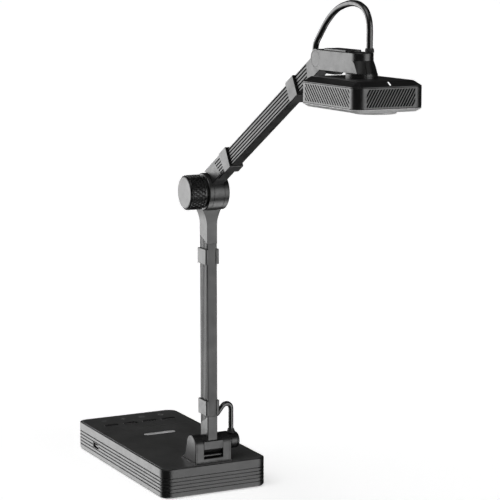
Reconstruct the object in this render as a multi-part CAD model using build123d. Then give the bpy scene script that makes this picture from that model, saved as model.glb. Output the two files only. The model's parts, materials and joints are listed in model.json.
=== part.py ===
from build123d import *

import math
import os

os.makedirs("parts", exist_ok=True)

# Document camera: a flat weighted base, a column, a raised arm, a swivelling camera head.
# Millimetres. +X is to the right across the short side of the base, -Y is the front,
# where the arm reaches out, and +Z is up. The origin is on the table under the base's centre.

# ---- driving dimensions ---------------------------------------------------------------
BASE_WIDTH = 110.0
BASE_LENGTH = 220.0
BASE_TOP = 29.5
BASE_CORNER = 10.0
SHELL_BOTTOM = 1.0
SHELL_RIM_TOP = 29.1
SHELL_WALL = 2.6
RIM_WALL = 1.5
PANEL_GAP = 0.35
PANEL_BOTTOM = 27.0
PANEL_SPLIT_Y = 50.5
SIDE_GROOVE_HEIGHTS = (20.4, 17.0, 13.6, 10.2, 6.8)
SIDE_GROOVE_WIDTH = 1.3
SIDE_GROOVE_DEPTH = 1.0

BUTTON_XS = (-32.0, -10.7, 10.7, 32.0)
BUTTON_Y = 73.0
BUTTON_WIDTH = 15.5
BUTTON_DEPTH = 5.4
BUTTON_TOP = 30.1
ICON_Y = 92.0

SIDE_PORT_Y = 59.0
BOARD_TOP = 10.2

HINGE_Y = -94.5
HINGE_Z = 46.0
HINGE_RADIUS = 10.0
CHEEK_INNER = 10.2
CHEEK_OUTER = 17.2
CAP_OUTER = 19.0
FLANGE_TOP = 30.6

TUBE_HALF_WIDTH = 5.2
TUBE_HALF_DEPTH = 8.1
TUBE_GROOVES = (6.2, 3.2, 0.2, -2.8, -5.8)
TUBE_GROOVE_WIDTH = 1.5
TUBE_GROOVE_DEPTH = 1.0
TUBE_CAVITY_HALF_WIDTH = 3.0
TUBE_CAVITY_HALF_DEPTH = 6.0

ELBOW_Y = -102.5
ELBOW_Z = 291.0
ELBOW_RADIUS = 17.5
KNUCKLE_HALF_WIDTH = 5.2
ELBOW_CHEEK_INNER = 5.4
ELBOW_CHEEK_OUTER = 10.6
KNOB_LEFT = -28.4
KNOB_RIGHT = -11.9
KNOB_RADIUS = 16.4

ARM_ELEVATION = 30.0
ARM_OFFSET = 8.0
ARM_LENGTH = 256.0

BRACKET_HALF_WIDTH = 9.5
BRACKET_BOTTOM = 417.4
BRACKET_TOP = 433.6
FORK_INNER = 5.4
BOSS_RADIUS = 6.65

SWIVEL_Y = -380.0
HEAD_WIDTH = 63.4
HEAD_LENGTH = 92.6
HEAD_CORNER = 9.0
HEAD_BAND_BOTTOM = 392.2
HEAD_BAND_TOP = 408.9
HEAD_TOP = 413.5
HEAD_BOTTOM = 389.1
HEAD_WALL = 2.2
NECK_RADIUS = 13.0

LOWER_CABLE_RADIUS = 2.4
TOP_CABLE_RADIUS = 2.6

SCREW_SHANK = 1.45
SCREW_HOLE = 1.5
SCREW_HEAD = 2.8


# ---- shared helpers -------------------------------------------------------------------
def block(x0, x1, y0, y1, z0, z1):
    """A box between the given limits."""
    middle = Pos((x0 + x1) / 2, (y0 + y1) / 2, (z0 + z1) / 2)
    return middle * Box(x1 - x0, y1 - y0, z1 - z0)


def x_cylinder(radius, x0, x1, y, z):
    """A cylinder along X."""
    return Pos((x0 + x1) / 2, y, z) * Rot(0, 90, 0) * Cylinder(radius, x1 - x0)


def z_cylinder(radius, z0, z1, x, y):
    """A cylinder along Z."""
    return Pos(x, y, (z0 + z1) / 2) * Cylinder(radius, z1 - z0)


def rounded_slab(width, length, corner, z0, z1, y=0.0):
    """A slab with rounded vertical corners."""
    outline = RectangleRounded(width, length, corner)
    return Pos(0, y, z0) * extrude(outline, z1 - z0)


def side_plate(points, x0, x1):
    """A plate cut to a side view outline of (y, z) points, between two X positions."""
    outline = Plane.YZ * Polygon(*points, align=None)
    return Pos(x0, 0, 0) * extrude(outline, x1 - x0, dir=(1, 0, 0))


def front_plate(points, y0, y1):
    """A plate cut to a front view outline of (x, z) points, between two Y positions."""
    outline = Plane.XZ * Polygon(*points, align=None)
    return Pos(0, y0, 0) * extrude(outline, y1 - y0, dir=(0, 1, 0))


def pan_screw(length, head_height=1.2):
    """A screw standing head down at the origin, with a cross recess in its head."""
    screw = z_cylinder(SCREW_HEAD, 0, head_height, 0, 0)
    screw += z_cylinder(SCREW_SHANK, 0, head_height + length, 0, 0)
    recess = block(-1.4, 1.4, -0.3, 0.3, 0, 0.6) + block(-0.3, 0.3, -1.4, 1.4, 0, 0.6)
    return screw - recess


def joined(shapes):
    """Several separate solids that share one node."""
    return Compound(children=[Part() + shape for shape in shapes])


def save(name, shape):
    export_step(shape, "parts/" + name + ".step")


# ---- base -----------------------------------------------------------------------------
SCREW_BOSS_X = 44.0
SCREW_BOSS_Y = 98.0
BOSS_OUTER = 3.6
FOOT_X = 40.0
FOOT_Y = 82.0
FOOT_RADIUS = 7.0
FOOT_RECESS = 0.6
PLATE_TOP = 3.4
BALLAST_TOP = 7.6
BALLAST_SLAB_TOP = 18.0
BALLAST_NOTCH_X = 39.5
BALLAST_NOTCH_Y = 93.5
BACKING_PLATE_BOTTOM = 24.4

PORT_VIDEO_X = -28.0
PORT_DATA_X = 0.0
PORT_POWER_X = 26.0


def base_corners(x, y):
    return [(x, y), (-x, y), (x, -y), (-x, -y)]


def foot_positions():
    """Four feet at the corners, and one under the middle of the ballast."""
    return base_corners(FOOT_X, FOOT_Y) + [(0.0, 0.0)]


def base_shell():
    outer = rounded_slab(BASE_WIDTH, BASE_LENGTH, BASE_CORNER, SHELL_BOTTOM, SHELL_RIM_TOP)
    bottom_edges = outer.faces().sort_by(Axis.Z)[0].edges()
    outer = chamfer(bottom_edges, 1.4)
    top_edges = outer.faces().sort_by(Axis.Z)[-1].edges()
    outer = fillet(top_edges, 0.7)
    inset = 2 * SIDE_GROOVE_DEPTH
    core_corner = BASE_CORNER - SIDE_GROOVE_DEPTH
    for height in SIDE_GROOVE_HEIGHTS:
        low = height - SIDE_GROOVE_WIDTH / 2
        high = height + SIDE_GROOVE_WIDTH / 2
        around = rounded_slab(BASE_WIDTH + 4, BASE_LENGTH + 4, BASE_CORNER + 2, low, high)
        core = rounded_slab(BASE_WIDTH - inset, BASE_LENGTH - inset, core_corner, low, high)
        outer -= around - core
    cavity = rounded_slab(
        BASE_WIDTH - 2 * SHELL_WALL,
        BASE_LENGTH - 2 * SHELL_WALL,
        BASE_CORNER - SHELL_WALL,
        0,
        BASE_TOP + 1,
    )
    mouth = rounded_slab(
        BASE_WIDTH - 2 * RIM_WALL,
        BASE_LENGTH - 2 * RIM_WALL,
        BASE_CORNER - RIM_WALL,
        PANEL_BOTTOM,
        BASE_TOP + 1,
    )
    shell = outer - cavity - mouth
    for x, y in base_corners(SCREW_BOSS_X, SCREW_BOSS_Y):
        side = math.copysign(1, x)
        web_start = min(x, side * (BASE_WIDTH / 2 - 1.5))
        web_end = max(x, side * (BASE_WIDTH / 2 - 1.5))
        shell += z_cylinder(BOSS_OUTER, PLATE_TOP + 0.1, PANEL_BOTTOM - 0.1, x, y)
        shell += block(web_start, web_end, y - 1.2, y + 1.2, PLATE_TOP + 0.1, PANEL_BOTTOM - 0.1)
        shell -= z_cylinder(SCREW_HOLE, PLATE_TOP, 18, x, y)
    left = -BASE_WIDTH / 2
    shell -= block(left - 1, left + 4, SIDE_PORT_Y - 7.0, SIDE_PORT_Y + 7.0, 9.9, 16.3)
    back = BASE_LENGTH / 2
    shell -= block(PORT_VIDEO_X - 8.0, PORT_VIDEO_X + 8.0, back - 4, back + 1, 9.9, 16.6)
    shell -= block(PORT_DATA_X - 6.5, PORT_DATA_X + 6.5, back - 4, back + 1, 9.9, 21.6)
    shell -= block(PORT_POWER_X - 5.0, PORT_POWER_X + 5.0, back - 4, back + 1, 9.9, 20.6)
    return shell


def panel_blank():
    inset = RIM_WALL + PANEL_GAP
    blank = rounded_slab(
        BASE_WIDTH - 2 * inset,
        BASE_LENGTH - 2 * inset,
        BASE_CORNER - inset,
        PANEL_BOTTOM,
        BASE_TOP,
    )
    top_edges = blank.faces().sort_by(Axis.Z)[-1].edges()
    return fillet(top_edges, 0.5)


HOUSING_SCREWS = [(-13.7, -100.0), (13.7, -100.0), (-13.7, -85.5), (13.7, -85.5)]
BADGE_Y = 22.0
BADGE_WIDTH = 34.0
BADGE_DEPTH = 6.6
BADGE_RECESS = 0.5


def front_panel():
    panel = panel_blank() - block(-60, 60, PANEL_SPLIT_Y - 0.15, 120, 0, 40)
    for x, y in HOUSING_SCREWS:
        panel -= z_cylinder(1.7, 20, 40, x, y)
    recess = rounded_slab(
        BADGE_WIDTH + 0.2, BADGE_DEPTH + 0.2, BADGE_DEPTH / 2, BASE_TOP - BADGE_RECESS, 40, BADGE_Y
    )
    return panel - recess


def badge_plate():
    """A blank name bar set into the front panel."""
    low = BASE_TOP - BADGE_RECESS
    bar = rounded_slab(BADGE_WIDTH, BADGE_DEPTH, BADGE_DEPTH / 2 - 0.1, low, BASE_TOP + 0.15, BADGE_Y)
    return chamfer(bar.faces().sort_by(Axis.Z)[-1].edges(), 0.12)


PANEL_POST_XS = (-21.35, 0.0, 21.35)
PANEL_POST_Y = BUTTON_Y + 6.4
BUTTON_BOARD_TOP = 22.1
BUTTON_BOARD_BOTTOM = 20.5
SWITCH_TOP = 25.1
ICON_RECESS = 0.3


def button_blank(width, depth, z0, z1):
    return extrude(Pos(0, 0, z0) * SlotOverall(width, depth), z1 - z0)


def icon_shapes():
    """Plain printed pictograms behind the buttons: minus, plus, frame and ring."""
    low = BASE_TOP - ICON_RECESS
    high = BASE_TOP
    minus = block(-2.6, 2.6, -0.5, 0.5, low, high)
    plus = minus + block(-0.5, 0.5, -2.6, 2.6, low, high)
    frame = block(-3.0, 3.0, -2.2, 2.2, low, high) - block(-2.2, 2.2, -1.4, 1.4, low, high)
    ring = z_cylinder(2.7, low, high, 0, 0) - z_cylinder(1.8, low, high, 0, 0)
    shapes = [minus, plus, frame, ring]
    return [Pos(x, ICON_Y, 0) * shape for x, shape in zip(BUTTON_XS, shapes)]


def rear_panel():
    panel = panel_blank() - block(-60, 60, -120, PANEL_SPLIT_Y + 0.15, 0, 40)
    for x in BUTTON_XS:
        opening = button_blank(BUTTON_WIDTH + 0.5, BUTTON_DEPTH + 0.5, 20, 40)
        panel -= Pos(x, BUTTON_Y, 0) * opening
    for x in PANEL_POST_XS:
        panel += z_cylinder(2.2, BUTTON_BOARD_TOP, PANEL_BOTTOM + 0.5, x, PANEL_POST_Y)
        panel -= z_cylinder(1.0, BUTTON_BOARD_TOP, PANEL_BOTTOM, x, PANEL_POST_Y)
    for shape in icon_shapes():
        panel -= shape
    return panel


def button(x):
    cap = button_blank(BUTTON_WIDTH, BUTTON_DEPTH, 26.2, BUTTON_TOP)
    cap = fillet(cap.faces().sort_by(Axis.Z)[-1].edges(), 0.6)
    cap += button_blank(BUTTON_WIDTH + 2.0, BUTTON_DEPTH + 2.0, 25.9, 26.9)
    return Pos(x, BUTTON_Y, 0) * cap


def button_board():
    """Small board under the rear panel, with a switch below each button."""
    board = block(-42, 42, BUTTON_Y - 7, BUTTON_Y + 9.5, BUTTON_BOARD_BOTTOM, BUTTON_BOARD_TOP - 0.02)
    for x in PANEL_POST_XS:
        board -= z_cylinder(1.2, 10, 30, x, PANEL_POST_Y)
    switch = block(-3, 3, -3, 3, BUTTON_BOARD_TOP - 1, BUTTON_BOARD_TOP + 2.2)
    switch += z_cylinder(1.6, BUTTON_BOARD_TOP, SWITCH_TOP, 0, 0)
    for x in BUTTON_XS:
        board += Pos(x, BUTTON_Y, 0) * switch
    return board


def bottom_plate():
    inset = SHELL_WALL + 0.2
    plate = rounded_slab(
        BASE_WIDTH - 2 * inset, BASE_LENGTH - 2 * inset, BASE_CORNER - inset, SHELL_BOTTOM, PLATE_TOP
    )
    for x, y in base_corners(SCREW_BOSS_X, SCREW_BOSS_Y):
        plate -= z_cylinder(SCREW_HEAD + 0.3, 0, SHELL_BOTTOM + 1.3, x, y)
        plate -= z_cylinder(SCREW_SHANK + 0.15, 0, 5, x, y)
    for x, y in foot_positions():
        plate -= z_cylinder(FOOT_RADIUS + 0.1, 0, SHELL_BOTTOM + FOOT_RECESS, x, y)
    return plate


def base_screws():
    """Screws for the bottom plate, and the same screws for the hinge housing."""
    screws = []
    for x, y in base_corners(SCREW_BOSS_X, SCREW_BOSS_Y):
        screws.append(Pos(x, y, SHELL_BOTTOM + 0.05) * pan_screw(13))
    for x, y in HOUSING_SCREWS:
        screws.append(Pos(x, y, BACKING_PLATE_BOTTOM - 1.2) * pan_screw(13))
    return joined(screws)


def rubber_feet():
    feet = []
    for x, y in foot_positions():
        foot = z_cylinder(FOOT_RADIUS, 0, SHELL_BOTTOM + FOOT_RECESS, x, y)
        feet.append(chamfer(foot.edges().sort_by(Axis.Z)[0], 0.3))
    return joined(feet)


def ballast_plate():
    plate = block(-49, 49, -104, 104, PLATE_TOP, BALLAST_TOP)
    plate += block(-46, 46, -90, 4, PLATE_TOP, BALLAST_SLAB_TOP)
    for x, y in base_corners(49, 104):
        side_x = math.copysign(BALLAST_NOTCH_X, x)
        side_y = math.copysign(BALLAST_NOTCH_Y, y)
        x_limits = sorted((side_x, 2 * x))
        y_limits = sorted((side_y, 2 * y))
        plate -= block(*x_limits, *y_limits, 0, 30)
    for x, y in board_hole_positions():
        plate += z_cylinder(3.0, BALLAST_TOP - 0.5, BOARD_TOP - 1.62, x, y)
    return plate


BOARD_HOLE_X = 41.0
BOARD_FRONT = 22.0
BOARD_BACK = 91.0


def board_hole_positions():
    rows = (BOARD_FRONT + 5, BOARD_BACK - 5)
    return [(x, y) for x in (-BOARD_HOLE_X, BOARD_HOLE_X) for y in rows]


def main_board():
    board = block(-47, 47, BOARD_FRONT, BOARD_BACK, BOARD_TOP - 1.6, BOARD_TOP)
    board += block(-36, 34, BOARD_BACK - 1, 104, BOARD_TOP - 1.6, BOARD_TOP)
    for x, y in board_hole_positions():
        board -= z_cylinder(1.7, 0, 20, x, y)
    board += block(-12, 12, 44, 68, BOARD_TOP, BOARD_TOP + 2.0)
    board += block(18, 34, 34, 46, BOARD_TOP, BOARD_TOP + 1.4)
    return board


def socket(width, height, depth, wall, tongue):
    """A connector at the origin: mouth towards -Y, sitting on z = 0, with an inner tongue."""
    body = block(-width / 2, width / 2, 0, depth, 0, height)
    hollow = block(-width / 2 + wall, width / 2 - wall, -1, depth - 2, wall, height - wall)
    half = tongue / 2
    middle = height / 2
    reach = width / 2 - 2 * wall
    blade = block(-reach, reach, 1, depth - 1, middle - half, middle + half)
    return body - hollow + blade


def side_port():
    left = -BASE_WIDTH / 2 + 0.5
    shape = Rot(0, 0, -90) * socket(13.2, 5.8, 14, 0.45, 1.8)
    return Pos(left, SIDE_PORT_Y, BOARD_TOP) * shape


def rear_port_video():
    back = BASE_LENGTH / 2 - 0.5
    return Pos(PORT_VIDEO_X, back, BOARD_TOP) * Rot(0, 0, 180) * socket(15.2, 5.8, 12, 0.5, 1.4)


def rear_port_data():
    back = BASE_LENGTH / 2 - 0.5
    return Pos(PORT_DATA_X, back, BOARD_TOP) * Rot(0, 0, 180) * socket(12.2, 10.8, 15, 1.0, 3.6)


def rear_port_power():
    back = BASE_LENGTH / 2 - 0.5
    body = block(-4.5, 4.5, back - 13, back, BOARD_TOP, BOARD_TOP + 9.8)
    middle = BOARD_TOP + 5.0
    hole = Pos(0, back - 5, middle) * Rot(90, 0, 0) * Cylinder(2.9, 12)
    pin = Pos(0, back - 6, middle) * Rot(90, 0, 0) * Cylinder(0.9, 10)
    return Pos(PORT_POWER_X, 0, 0) * (body - hole + pin)


# ---- tilt hinge on the base -----------------------------------------------------------
HOUSING_FRONT = HINGE_Y - HINGE_RADIUS
HOUSING_REAR = -73.0
WINDOW_BOTTOM = 33.5
REAR_WALL_Y = -84.8
REAR_WALL_TOP = 36.8
DRUM_RADIUS = 7.8
DRUM_END = 29.6
DRUM_Z = 46.8
GLAND_X = 23.3
COLLAR_RADIUS = 4.3
COLLAR_FOOT_TOP = 55.3
COLLAR_TOP = 58.2


def bell_outline(z0):
    """Side view of the housing: upright front, round top, and a rear that flares out."""
    sweep = math.radians(12)
    rear_y = HINGE_Y + HINGE_RADIUS * math.cos(sweep)
    rear_z = HINGE_Z + HINGE_RADIUS * math.sin(sweep)
    front = Line((HOUSING_FRONT, z0), (HOUSING_FRONT, HINGE_Z))
    top = ThreePointArc(
        (HOUSING_FRONT, HINGE_Z), (HINGE_Y, HINGE_Z + HINGE_RADIUS), (rear_y, rear_z)
    )
    rear = Spline(
        (rear_y, rear_z),
        (-80.6, 36.5),
        (HOUSING_REAR, z0),
        tangents=[(math.sin(sweep), -math.cos(sweep)), (1, -0.35)],
    )
    bottom = Line((HOUSING_REAR, z0), (HOUSING_FRONT, z0))
    return Plane.YZ * make_face([front, top, rear, bottom])


def bell_plate(x0, x1, z0):
    return Pos(x0, 0, 0) * extrude(bell_outline(z0), x1 - x0, dir=(1, 0, 0))


def hinge_housing():
    housing = bell_plate(-CHEEK_OUTER, -CHEEK_INNER, BASE_TOP)
    housing += bell_plate(CHEEK_INNER, CHEEK_OUTER, BASE_TOP)
    flange = CAP_OUTER + 0.5
    housing += block(-flange, flange, HOUSING_FRONT - 0.4, HOUSING_REAR + 0.5, BASE_TOP, FLANGE_TOP)
    housing += block(-11, 11, HOUSING_FRONT, HOUSING_FRONT + 2.6, BASE_TOP, WINDOW_BOTTOM)
    housing += block(-11, 11, REAR_WALL_Y, REAR_WALL_Y + 2.4, BASE_TOP, REAR_WALL_TOP)
    housing -= x_cylinder(3.02, -30, 30, HINGE_Y, HINGE_Z)
    housing -= x_cylinder(1.22, -11.8, 11.8, HINGE_Y - 6, HINGE_Z - 10)
    for x, y in HOUSING_SCREWS:
        housing -= z_cylinder(SCREW_HOLE, 0, 38.2, x, y)
    return housing


def hinge_cap_left():
    cap = bell_plate(-CAP_OUTER, -CHEEK_OUTER - 0.1, FLANGE_TOP + 0.05)
    outer = cap.faces().sort_by(Axis.X)[0]
    return chamfer(outer.edges(), 0.5)


def hinge_cap_right():
    """The right cap carries a short drum that the cable comes out of."""
    cap = bell_plate(CHEEK_OUTER + 0.1, CAP_OUTER, FLANGE_TOP + 0.05)
    outer = cap.faces().sort_by(Axis.X)[-1]
    cap = chamfer(outer.edges(), 0.5)
    drum = x_cylinder(DRUM_RADIUS, CHEEK_OUTER + 0.6, DRUM_END, HINGE_Y, DRUM_Z)
    drum = fillet(drum.edges().sort_by(Axis.X)[-1], 1.8)
    for x in (20.1, 26.4):
        ring = x_cylinder(DRUM_RADIUS + 1, x, x + 0.7, HINGE_Y, DRUM_Z)
        ring -= x_cylinder(DRUM_RADIUS - 0.5, x, x + 0.7, HINGE_Y, DRUM_Z)
        drum -= ring
    cap += drum
    cap -= x_cylinder(DRUM_RADIUS - 1.8, CHEEK_OUTER, DRUM_END - 1.8, HINGE_Y, DRUM_Z)
    return cap - z_cylinder(3.6, HINGE_Z, 70, GLAND_X, HINGE_Y)


def cable_gland_lower():
    """Rubber collar, flared at its foot, where the cable comes up out of the drum."""
    collar = z_cylinder(COLLAR_RADIUS, 52.0, COLLAR_FOOT_TOP, GLAND_X, HINGE_Y)
    taper_height = COLLAR_TOP - COLLAR_FOOT_TOP
    taper = Cone(COLLAR_RADIUS, LOWER_CABLE_RADIUS + 0.6, taper_height)
    collar += Pos(GLAND_X, HINGE_Y, (COLLAR_FOOT_TOP + COLLAR_TOP) / 2) * taper
    collar -= x_cylinder(DRUM_RADIUS + 0.06, 10, 40, HINGE_Y, DRUM_Z)
    plug_part = z_cylinder(3.5, 50.5, COLLAR_FOOT_TOP, GLAND_X, HINGE_Y)
    bore = z_cylinder(LOWER_CABLE_RADIUS + 0.2, 40, 80, GLAND_X, HINGE_Y)
    return collar + plug_part - bore


def hinge_pin():
    pin = x_cylinder(3.0, -16.8, 16.8, HINGE_Y, HINGE_Z)
    return chamfer(pin.edges(), 0.5)


def stop_bar():
    return x_cylinder(1.2, -11.6, 11.6, HINGE_Y - 6, HINGE_Z - 10)


def hinge_backing_plate():
    plate = block(-21, 21, -105.6, -74, BACKING_PLATE_BOTTOM, PANEL_BOTTOM - 0.02)
    for x, y in HOUSING_SCREWS:
        plate -= z_cylinder(1.7, 20, 40, x, y)
    return plate


# ---- column ---------------------------------------------------------------------------
FOOT_FRONT_Z = 74.2
FOOT_BACK_Z = 65.4
YOKE_FRONT_Z = 240.9
YOKE_BACK_Z = 248.8
CLIP_HEIGHT = 14.2
LOWER_CLIP_Z = 75.4
UPPER_CLIP_Z = 221.5
CLIP_HALF_WIDTH = 7.0
CLIP_NOTCH_Z = 73.7


def grooved_tube(bottom, top):
    """Extruded tube about the Z axis with five grooves down each wide side."""
    outline = RectangleRounded(2 * TUBE_HALF_WIDTH, 2 * TUBE_HALF_DEPTH, 0.9)
    outline -= Rectangle(2 * TUBE_CAVITY_HALF_WIDTH, 2 * TUBE_CAVITY_HALF_DEPTH)
    for depth in TUBE_GROOVES:
        for side in (-1, 1):
            x = side * (TUBE_HALF_WIDTH - TUBE_GROOVE_DEPTH / 2 + 0.05)
            cut = Rectangle(TUBE_GROOVE_DEPTH + 0.1, TUBE_GROOVE_WIDTH)
            outline -= Pos(x, depth) * cut
    return Pos(0, 0, bottom) * extrude(outline, top - bottom)


def plug(bottom, top):
    """A tongue that fills the tube's cavity."""
    half_width = TUBE_CAVITY_HALF_WIDTH - 0.1
    half_depth = TUBE_CAVITY_HALF_DEPTH - 0.1
    return block(-half_width, half_width, -half_depth, half_depth, bottom, top)


def slanted_cutter(front_z, back_z, far_z):
    """A wedge from a slanted plane across the tube to a far level."""
    front = -TUBE_HALF_DEPTH
    back = TUBE_HALF_DEPTH
    slope = (back_z - front_z) / (back - front)
    overhang = 12.0
    points = [
        (front - overhang, front_z - overhang * slope),
        (back + overhang, back_z + overhang * slope),
        (back + overhang, far_z),
        (front - overhang, far_z),
    ]
    return side_plate(points, -20, 20)


def wrap_clip(height, back_side):
    """A spring clip round the tube: closed on one narrow side, hooked over the other."""
    inner = TUBE_HALF_WIDTH + 0.04
    depth = TUBE_HALF_DEPTH + 0.06
    outer_back = depth + 1.9
    outer_front = depth + 0.75
    clip = block(-CLIP_HALF_WIDTH, CLIP_HALF_WIDTH, -outer_front, outer_back, 0, height)
    clip = fillet(clip.edges().filter_by(Axis.Z), 1.1)
    clip -= block(-inner, inner, -depth, depth, -1, height + 1)
    lip = TUBE_HALF_WIDTH - 1.3
    clip -= block(-lip, lip, -20, 0, -1, height + 1)
    if back_side < 0:
        clip = Rot(0, 0, 180) * clip
    return clip


def column_frame(shape):
    """From the tube's own frame to the standing column."""
    return Pos(0, HINGE_Y, 0) * shape


def column_tube():
    tube = grooved_tube(60, 256)
    tube -= slanted_cutter(FOOT_FRONT_Z + 0.1, FOOT_BACK_Z + 0.1, 0)
    tube -= slanted_cutter(YOKE_FRONT_Z - 0.1, YOKE_BACK_Z - 0.1, 300)
    return column_frame(tube)


def column_foot():
    """Hinge barrel between the housing's cheeks, with the socket for the tube."""
    width = TUBE_HALF_WIDTH
    depth = TUBE_HALF_DEPTH
    sleeve = block(-width, width, -depth, depth, HINGE_Z, 80)
    sleeve = fillet(sleeve.edges().filter_by(Axis.Z), 0.9)
    sleeve -= slanted_cutter(FOOT_FRONT_Z, FOOT_BACK_Z, 120)
    foot = column_frame(sleeve)
    side = CHEEK_INNER - 0.25
    foot += x_cylinder(HINGE_RADIUS - 0.4, -side, side, HINGE_Y, HINGE_Z)
    pad = block(-side, side, -10.2, 0, HINGE_Z - 3.5, HINGE_Z + 4.8)
    pad = fillet(pad.edges().filter_by(Axis.X).group_by(Axis.Y)[0], 0.6)
    foot += column_frame(pad)
    foot += column_frame(plug(60, 92))
    return foot - x_cylinder(3.06, -30, 30, HINGE_Y, HINGE_Z)


def column_clips():
    lower = Pos(0, 0, LOWER_CLIP_Z) * wrap_clip(CLIP_HEIGHT, 1)
    lower -= x_cylinder(LOWER_CABLE_RADIUS + 0.5, TUBE_HALF_WIDTH, 12, 0, CLIP_NOTCH_Z)
    lower = column_frame(lower)
    upper = column_frame(Pos(0, 0, UPPER_CLIP_Z) * wrap_clip(CLIP_HEIGHT, 1))
    return joined([lower, upper])


YOKE_NECK_Z = 258.0
YOKE_FLARE_Z = 276.0


def elbow_cheek(x0, x1):
    """One round cheek, with its outer edge rounded."""
    cheek = x_cylinder(ELBOW_RADIUS, x0, x1, ELBOW_Y, ELBOW_Z)
    edges = cheek.edges().filter_by(GeomType.CIRCLE).sort_by(Axis.X)
    outer_edge = edges[0] if x0 < 0 else edges[-1]
    return fillet(outer_edge, 1.4)


def column_yoke():
    """Top fitting: a blade that flares out into two round cheeks."""
    half = TUBE_HALF_WIDTH
    wide = ELBOW_CHEEK_OUTER - 0.2
    right = Spline((half, YOKE_NECK_Z), (wide, YOKE_FLARE_Z), tangents=[(0, 1), (0.42, 1)])
    left = Spline((-wide, YOKE_FLARE_Z), (-half, YOKE_NECK_Z), tangents=[(0.42, -1), (0, -1)])
    outline = make_face([
        Line((-half, 236), (half, 236)),
        Line((half, 236), (half, YOKE_NECK_Z)),
        right,
        Line((wide, YOKE_FLARE_Z), (wide, 282)),
        Line((wide, 282), (-wide, 282)),
        Line((-wide, 282), (-wide, YOKE_FLARE_Z)),
        left,
        Line((-half, YOKE_NECK_Z), (-half, 236)),
    ])
    depth = 2 * TUBE_HALF_DEPTH
    blade = Pos(0, -TUBE_HALF_DEPTH, 0) * extrude(Plane.XZ * outline, depth, dir=(0, 1, 0))
    blade = column_frame(blade - slanted_cutter(YOKE_FRONT_Z, YOKE_BACK_Z, 200))
    yoke = blade + elbow_cheek(-ELBOW_CHEEK_OUTER, -ELBOW_CHEEK_INNER)
    yoke += elbow_cheek(ELBOW_CHEEK_INNER, ELBOW_CHEEK_OUTER)
    yoke -= x_cylinder(ELBOW_RADIUS + 0.45, -ELBOW_CHEEK_INNER, ELBOW_CHEEK_INNER, ELBOW_Y, ELBOW_Z)
    yoke += column_frame(plug(226, 256))
    return yoke - x_cylinder(5.02, -30, 30, ELBOW_Y, ELBOW_Z)


def elbow_bolt():
    """Clamp bolt: low round head with a hex socket on the right, thread for the knob on the left."""
    bolt = x_cylinder(5.0, -11.4, ELBOW_CHEEK_OUTER + 1, ELBOW_Y, ELBOW_Z)
    bolt += x_cylinder(4.0, -24.0, -11, ELBOW_Y, ELBOW_Z)
    head = x_cylinder(9.0, ELBOW_CHEEK_OUTER + 0.02, ELBOW_CHEEK_OUTER + 2.2, ELBOW_Y, ELBOW_Z)
    bolt += fillet(head.edges().sort_by(Axis.X)[-1], 1.2)
    key = Plane.YZ * RegularPolygon(3.0, 6)
    socket_cut = Pos(ELBOW_CHEEK_OUTER - 1, ELBOW_Y, ELBOW_Z) * extrude(key, 6)
    return bolt - socket_cut


def elbow_washers():
    """Friction discs between the knuckle and the cheeks, and one under the knob."""
    washers = []
    for x0, x1 in ((-5.36, -4.46), (4.46, 5.36)):
        disc = x_cylinder(13.8, x0, x1, ELBOW_Y, ELBOW_Z)
        washers.append(disc - x_cylinder(5.05, -30, 30, ELBOW_Y, ELBOW_Z))
    outer = x_cylinder(14.6, -11.7, -10.62, ELBOW_Y, ELBOW_Z)
    washers.append(outer - x_cylinder(5.05, -30, 30, ELBOW_Y, ELBOW_Z))
    return joined(washers)


# ---- clamp knob -----------------------------------------------------------------------
KNURL_TEETH = 28
KNURL_DEPTH = 1.5
KNURL_OVERSIZE = 0.5
KNURL_LEFT = -26.9
KNURL_RIGHT = -13.1
KNURL_TWIST = 32.0
KNOB_FACE_RADIUS = 14.3


def fluted_bar(twist):
    """A bar of many small ridges that wind round as it runs along."""
    points = []
    peak = KNOB_RADIUS + KNURL_OVERSIZE
    step = 360 / KNURL_TEETH
    for tooth in range(KNURL_TEETH):
        for turn, radius in ((0.0, peak), (0.5, peak - KNURL_DEPTH)):
            angle = math.radians((tooth + turn) * step)
            points.append((radius * math.cos(angle), radius * math.sin(angle)))
    outline = make_face(Polyline(*points, close=True))
    wire = outline.face().outer_wire()
    length = KNURL_RIGHT - KNURL_LEFT
    return Solid.extrude_linear_with_rotation(wire, (0, 0, 0), (0, 0, length), twist)


def elbow_knob():
    """Hand knob: two opposite sets of grooves leave flat-topped diamonds all round."""
    knurl = fluted_bar(KNURL_TWIST) & fluted_bar(-KNURL_TWIST)
    knurl = knurl & z_cylinder(KNOB_RADIUS, -1, 20, 0, 0)
    knob = Pos(KNURL_LEFT, ELBOW_Y, ELBOW_Z) * Rot(0, 90, 0) * knurl
    core = x_cylinder(KNOB_RADIUS - 2.0, KNOB_LEFT + 0.6, KNOB_RIGHT, ELBOW_Y, ELBOW_Z)
    rim = x_cylinder(KNOB_RADIUS - 0.5, KNOB_LEFT, KNURL_LEFT, ELBOW_Y, ELBOW_Z)
    rim = chamfer(rim.edges().sort_by(Axis.X)[0], 1.2)
    knob = core + rim + knob
    knob -= x_cylinder(4.06, -24.4, 0, ELBOW_Y, ELBOW_Z)
    return knob - x_cylinder(KNOB_FACE_RADIUS + 0.1, KNOB_LEFT - 1, KNOB_LEFT + 0.8, ELBOW_Y, ELBOW_Z)


def knob_face():
    """Turned metal disc set into the knob's end."""
    disc = x_cylinder(KNOB_FACE_RADIUS, KNOB_LEFT - 0.25, KNOB_LEFT + 0.78, ELBOW_Y, ELBOW_Z)
    return fillet(disc.edges().sort_by(Axis.X)[0], 0.25)


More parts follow.
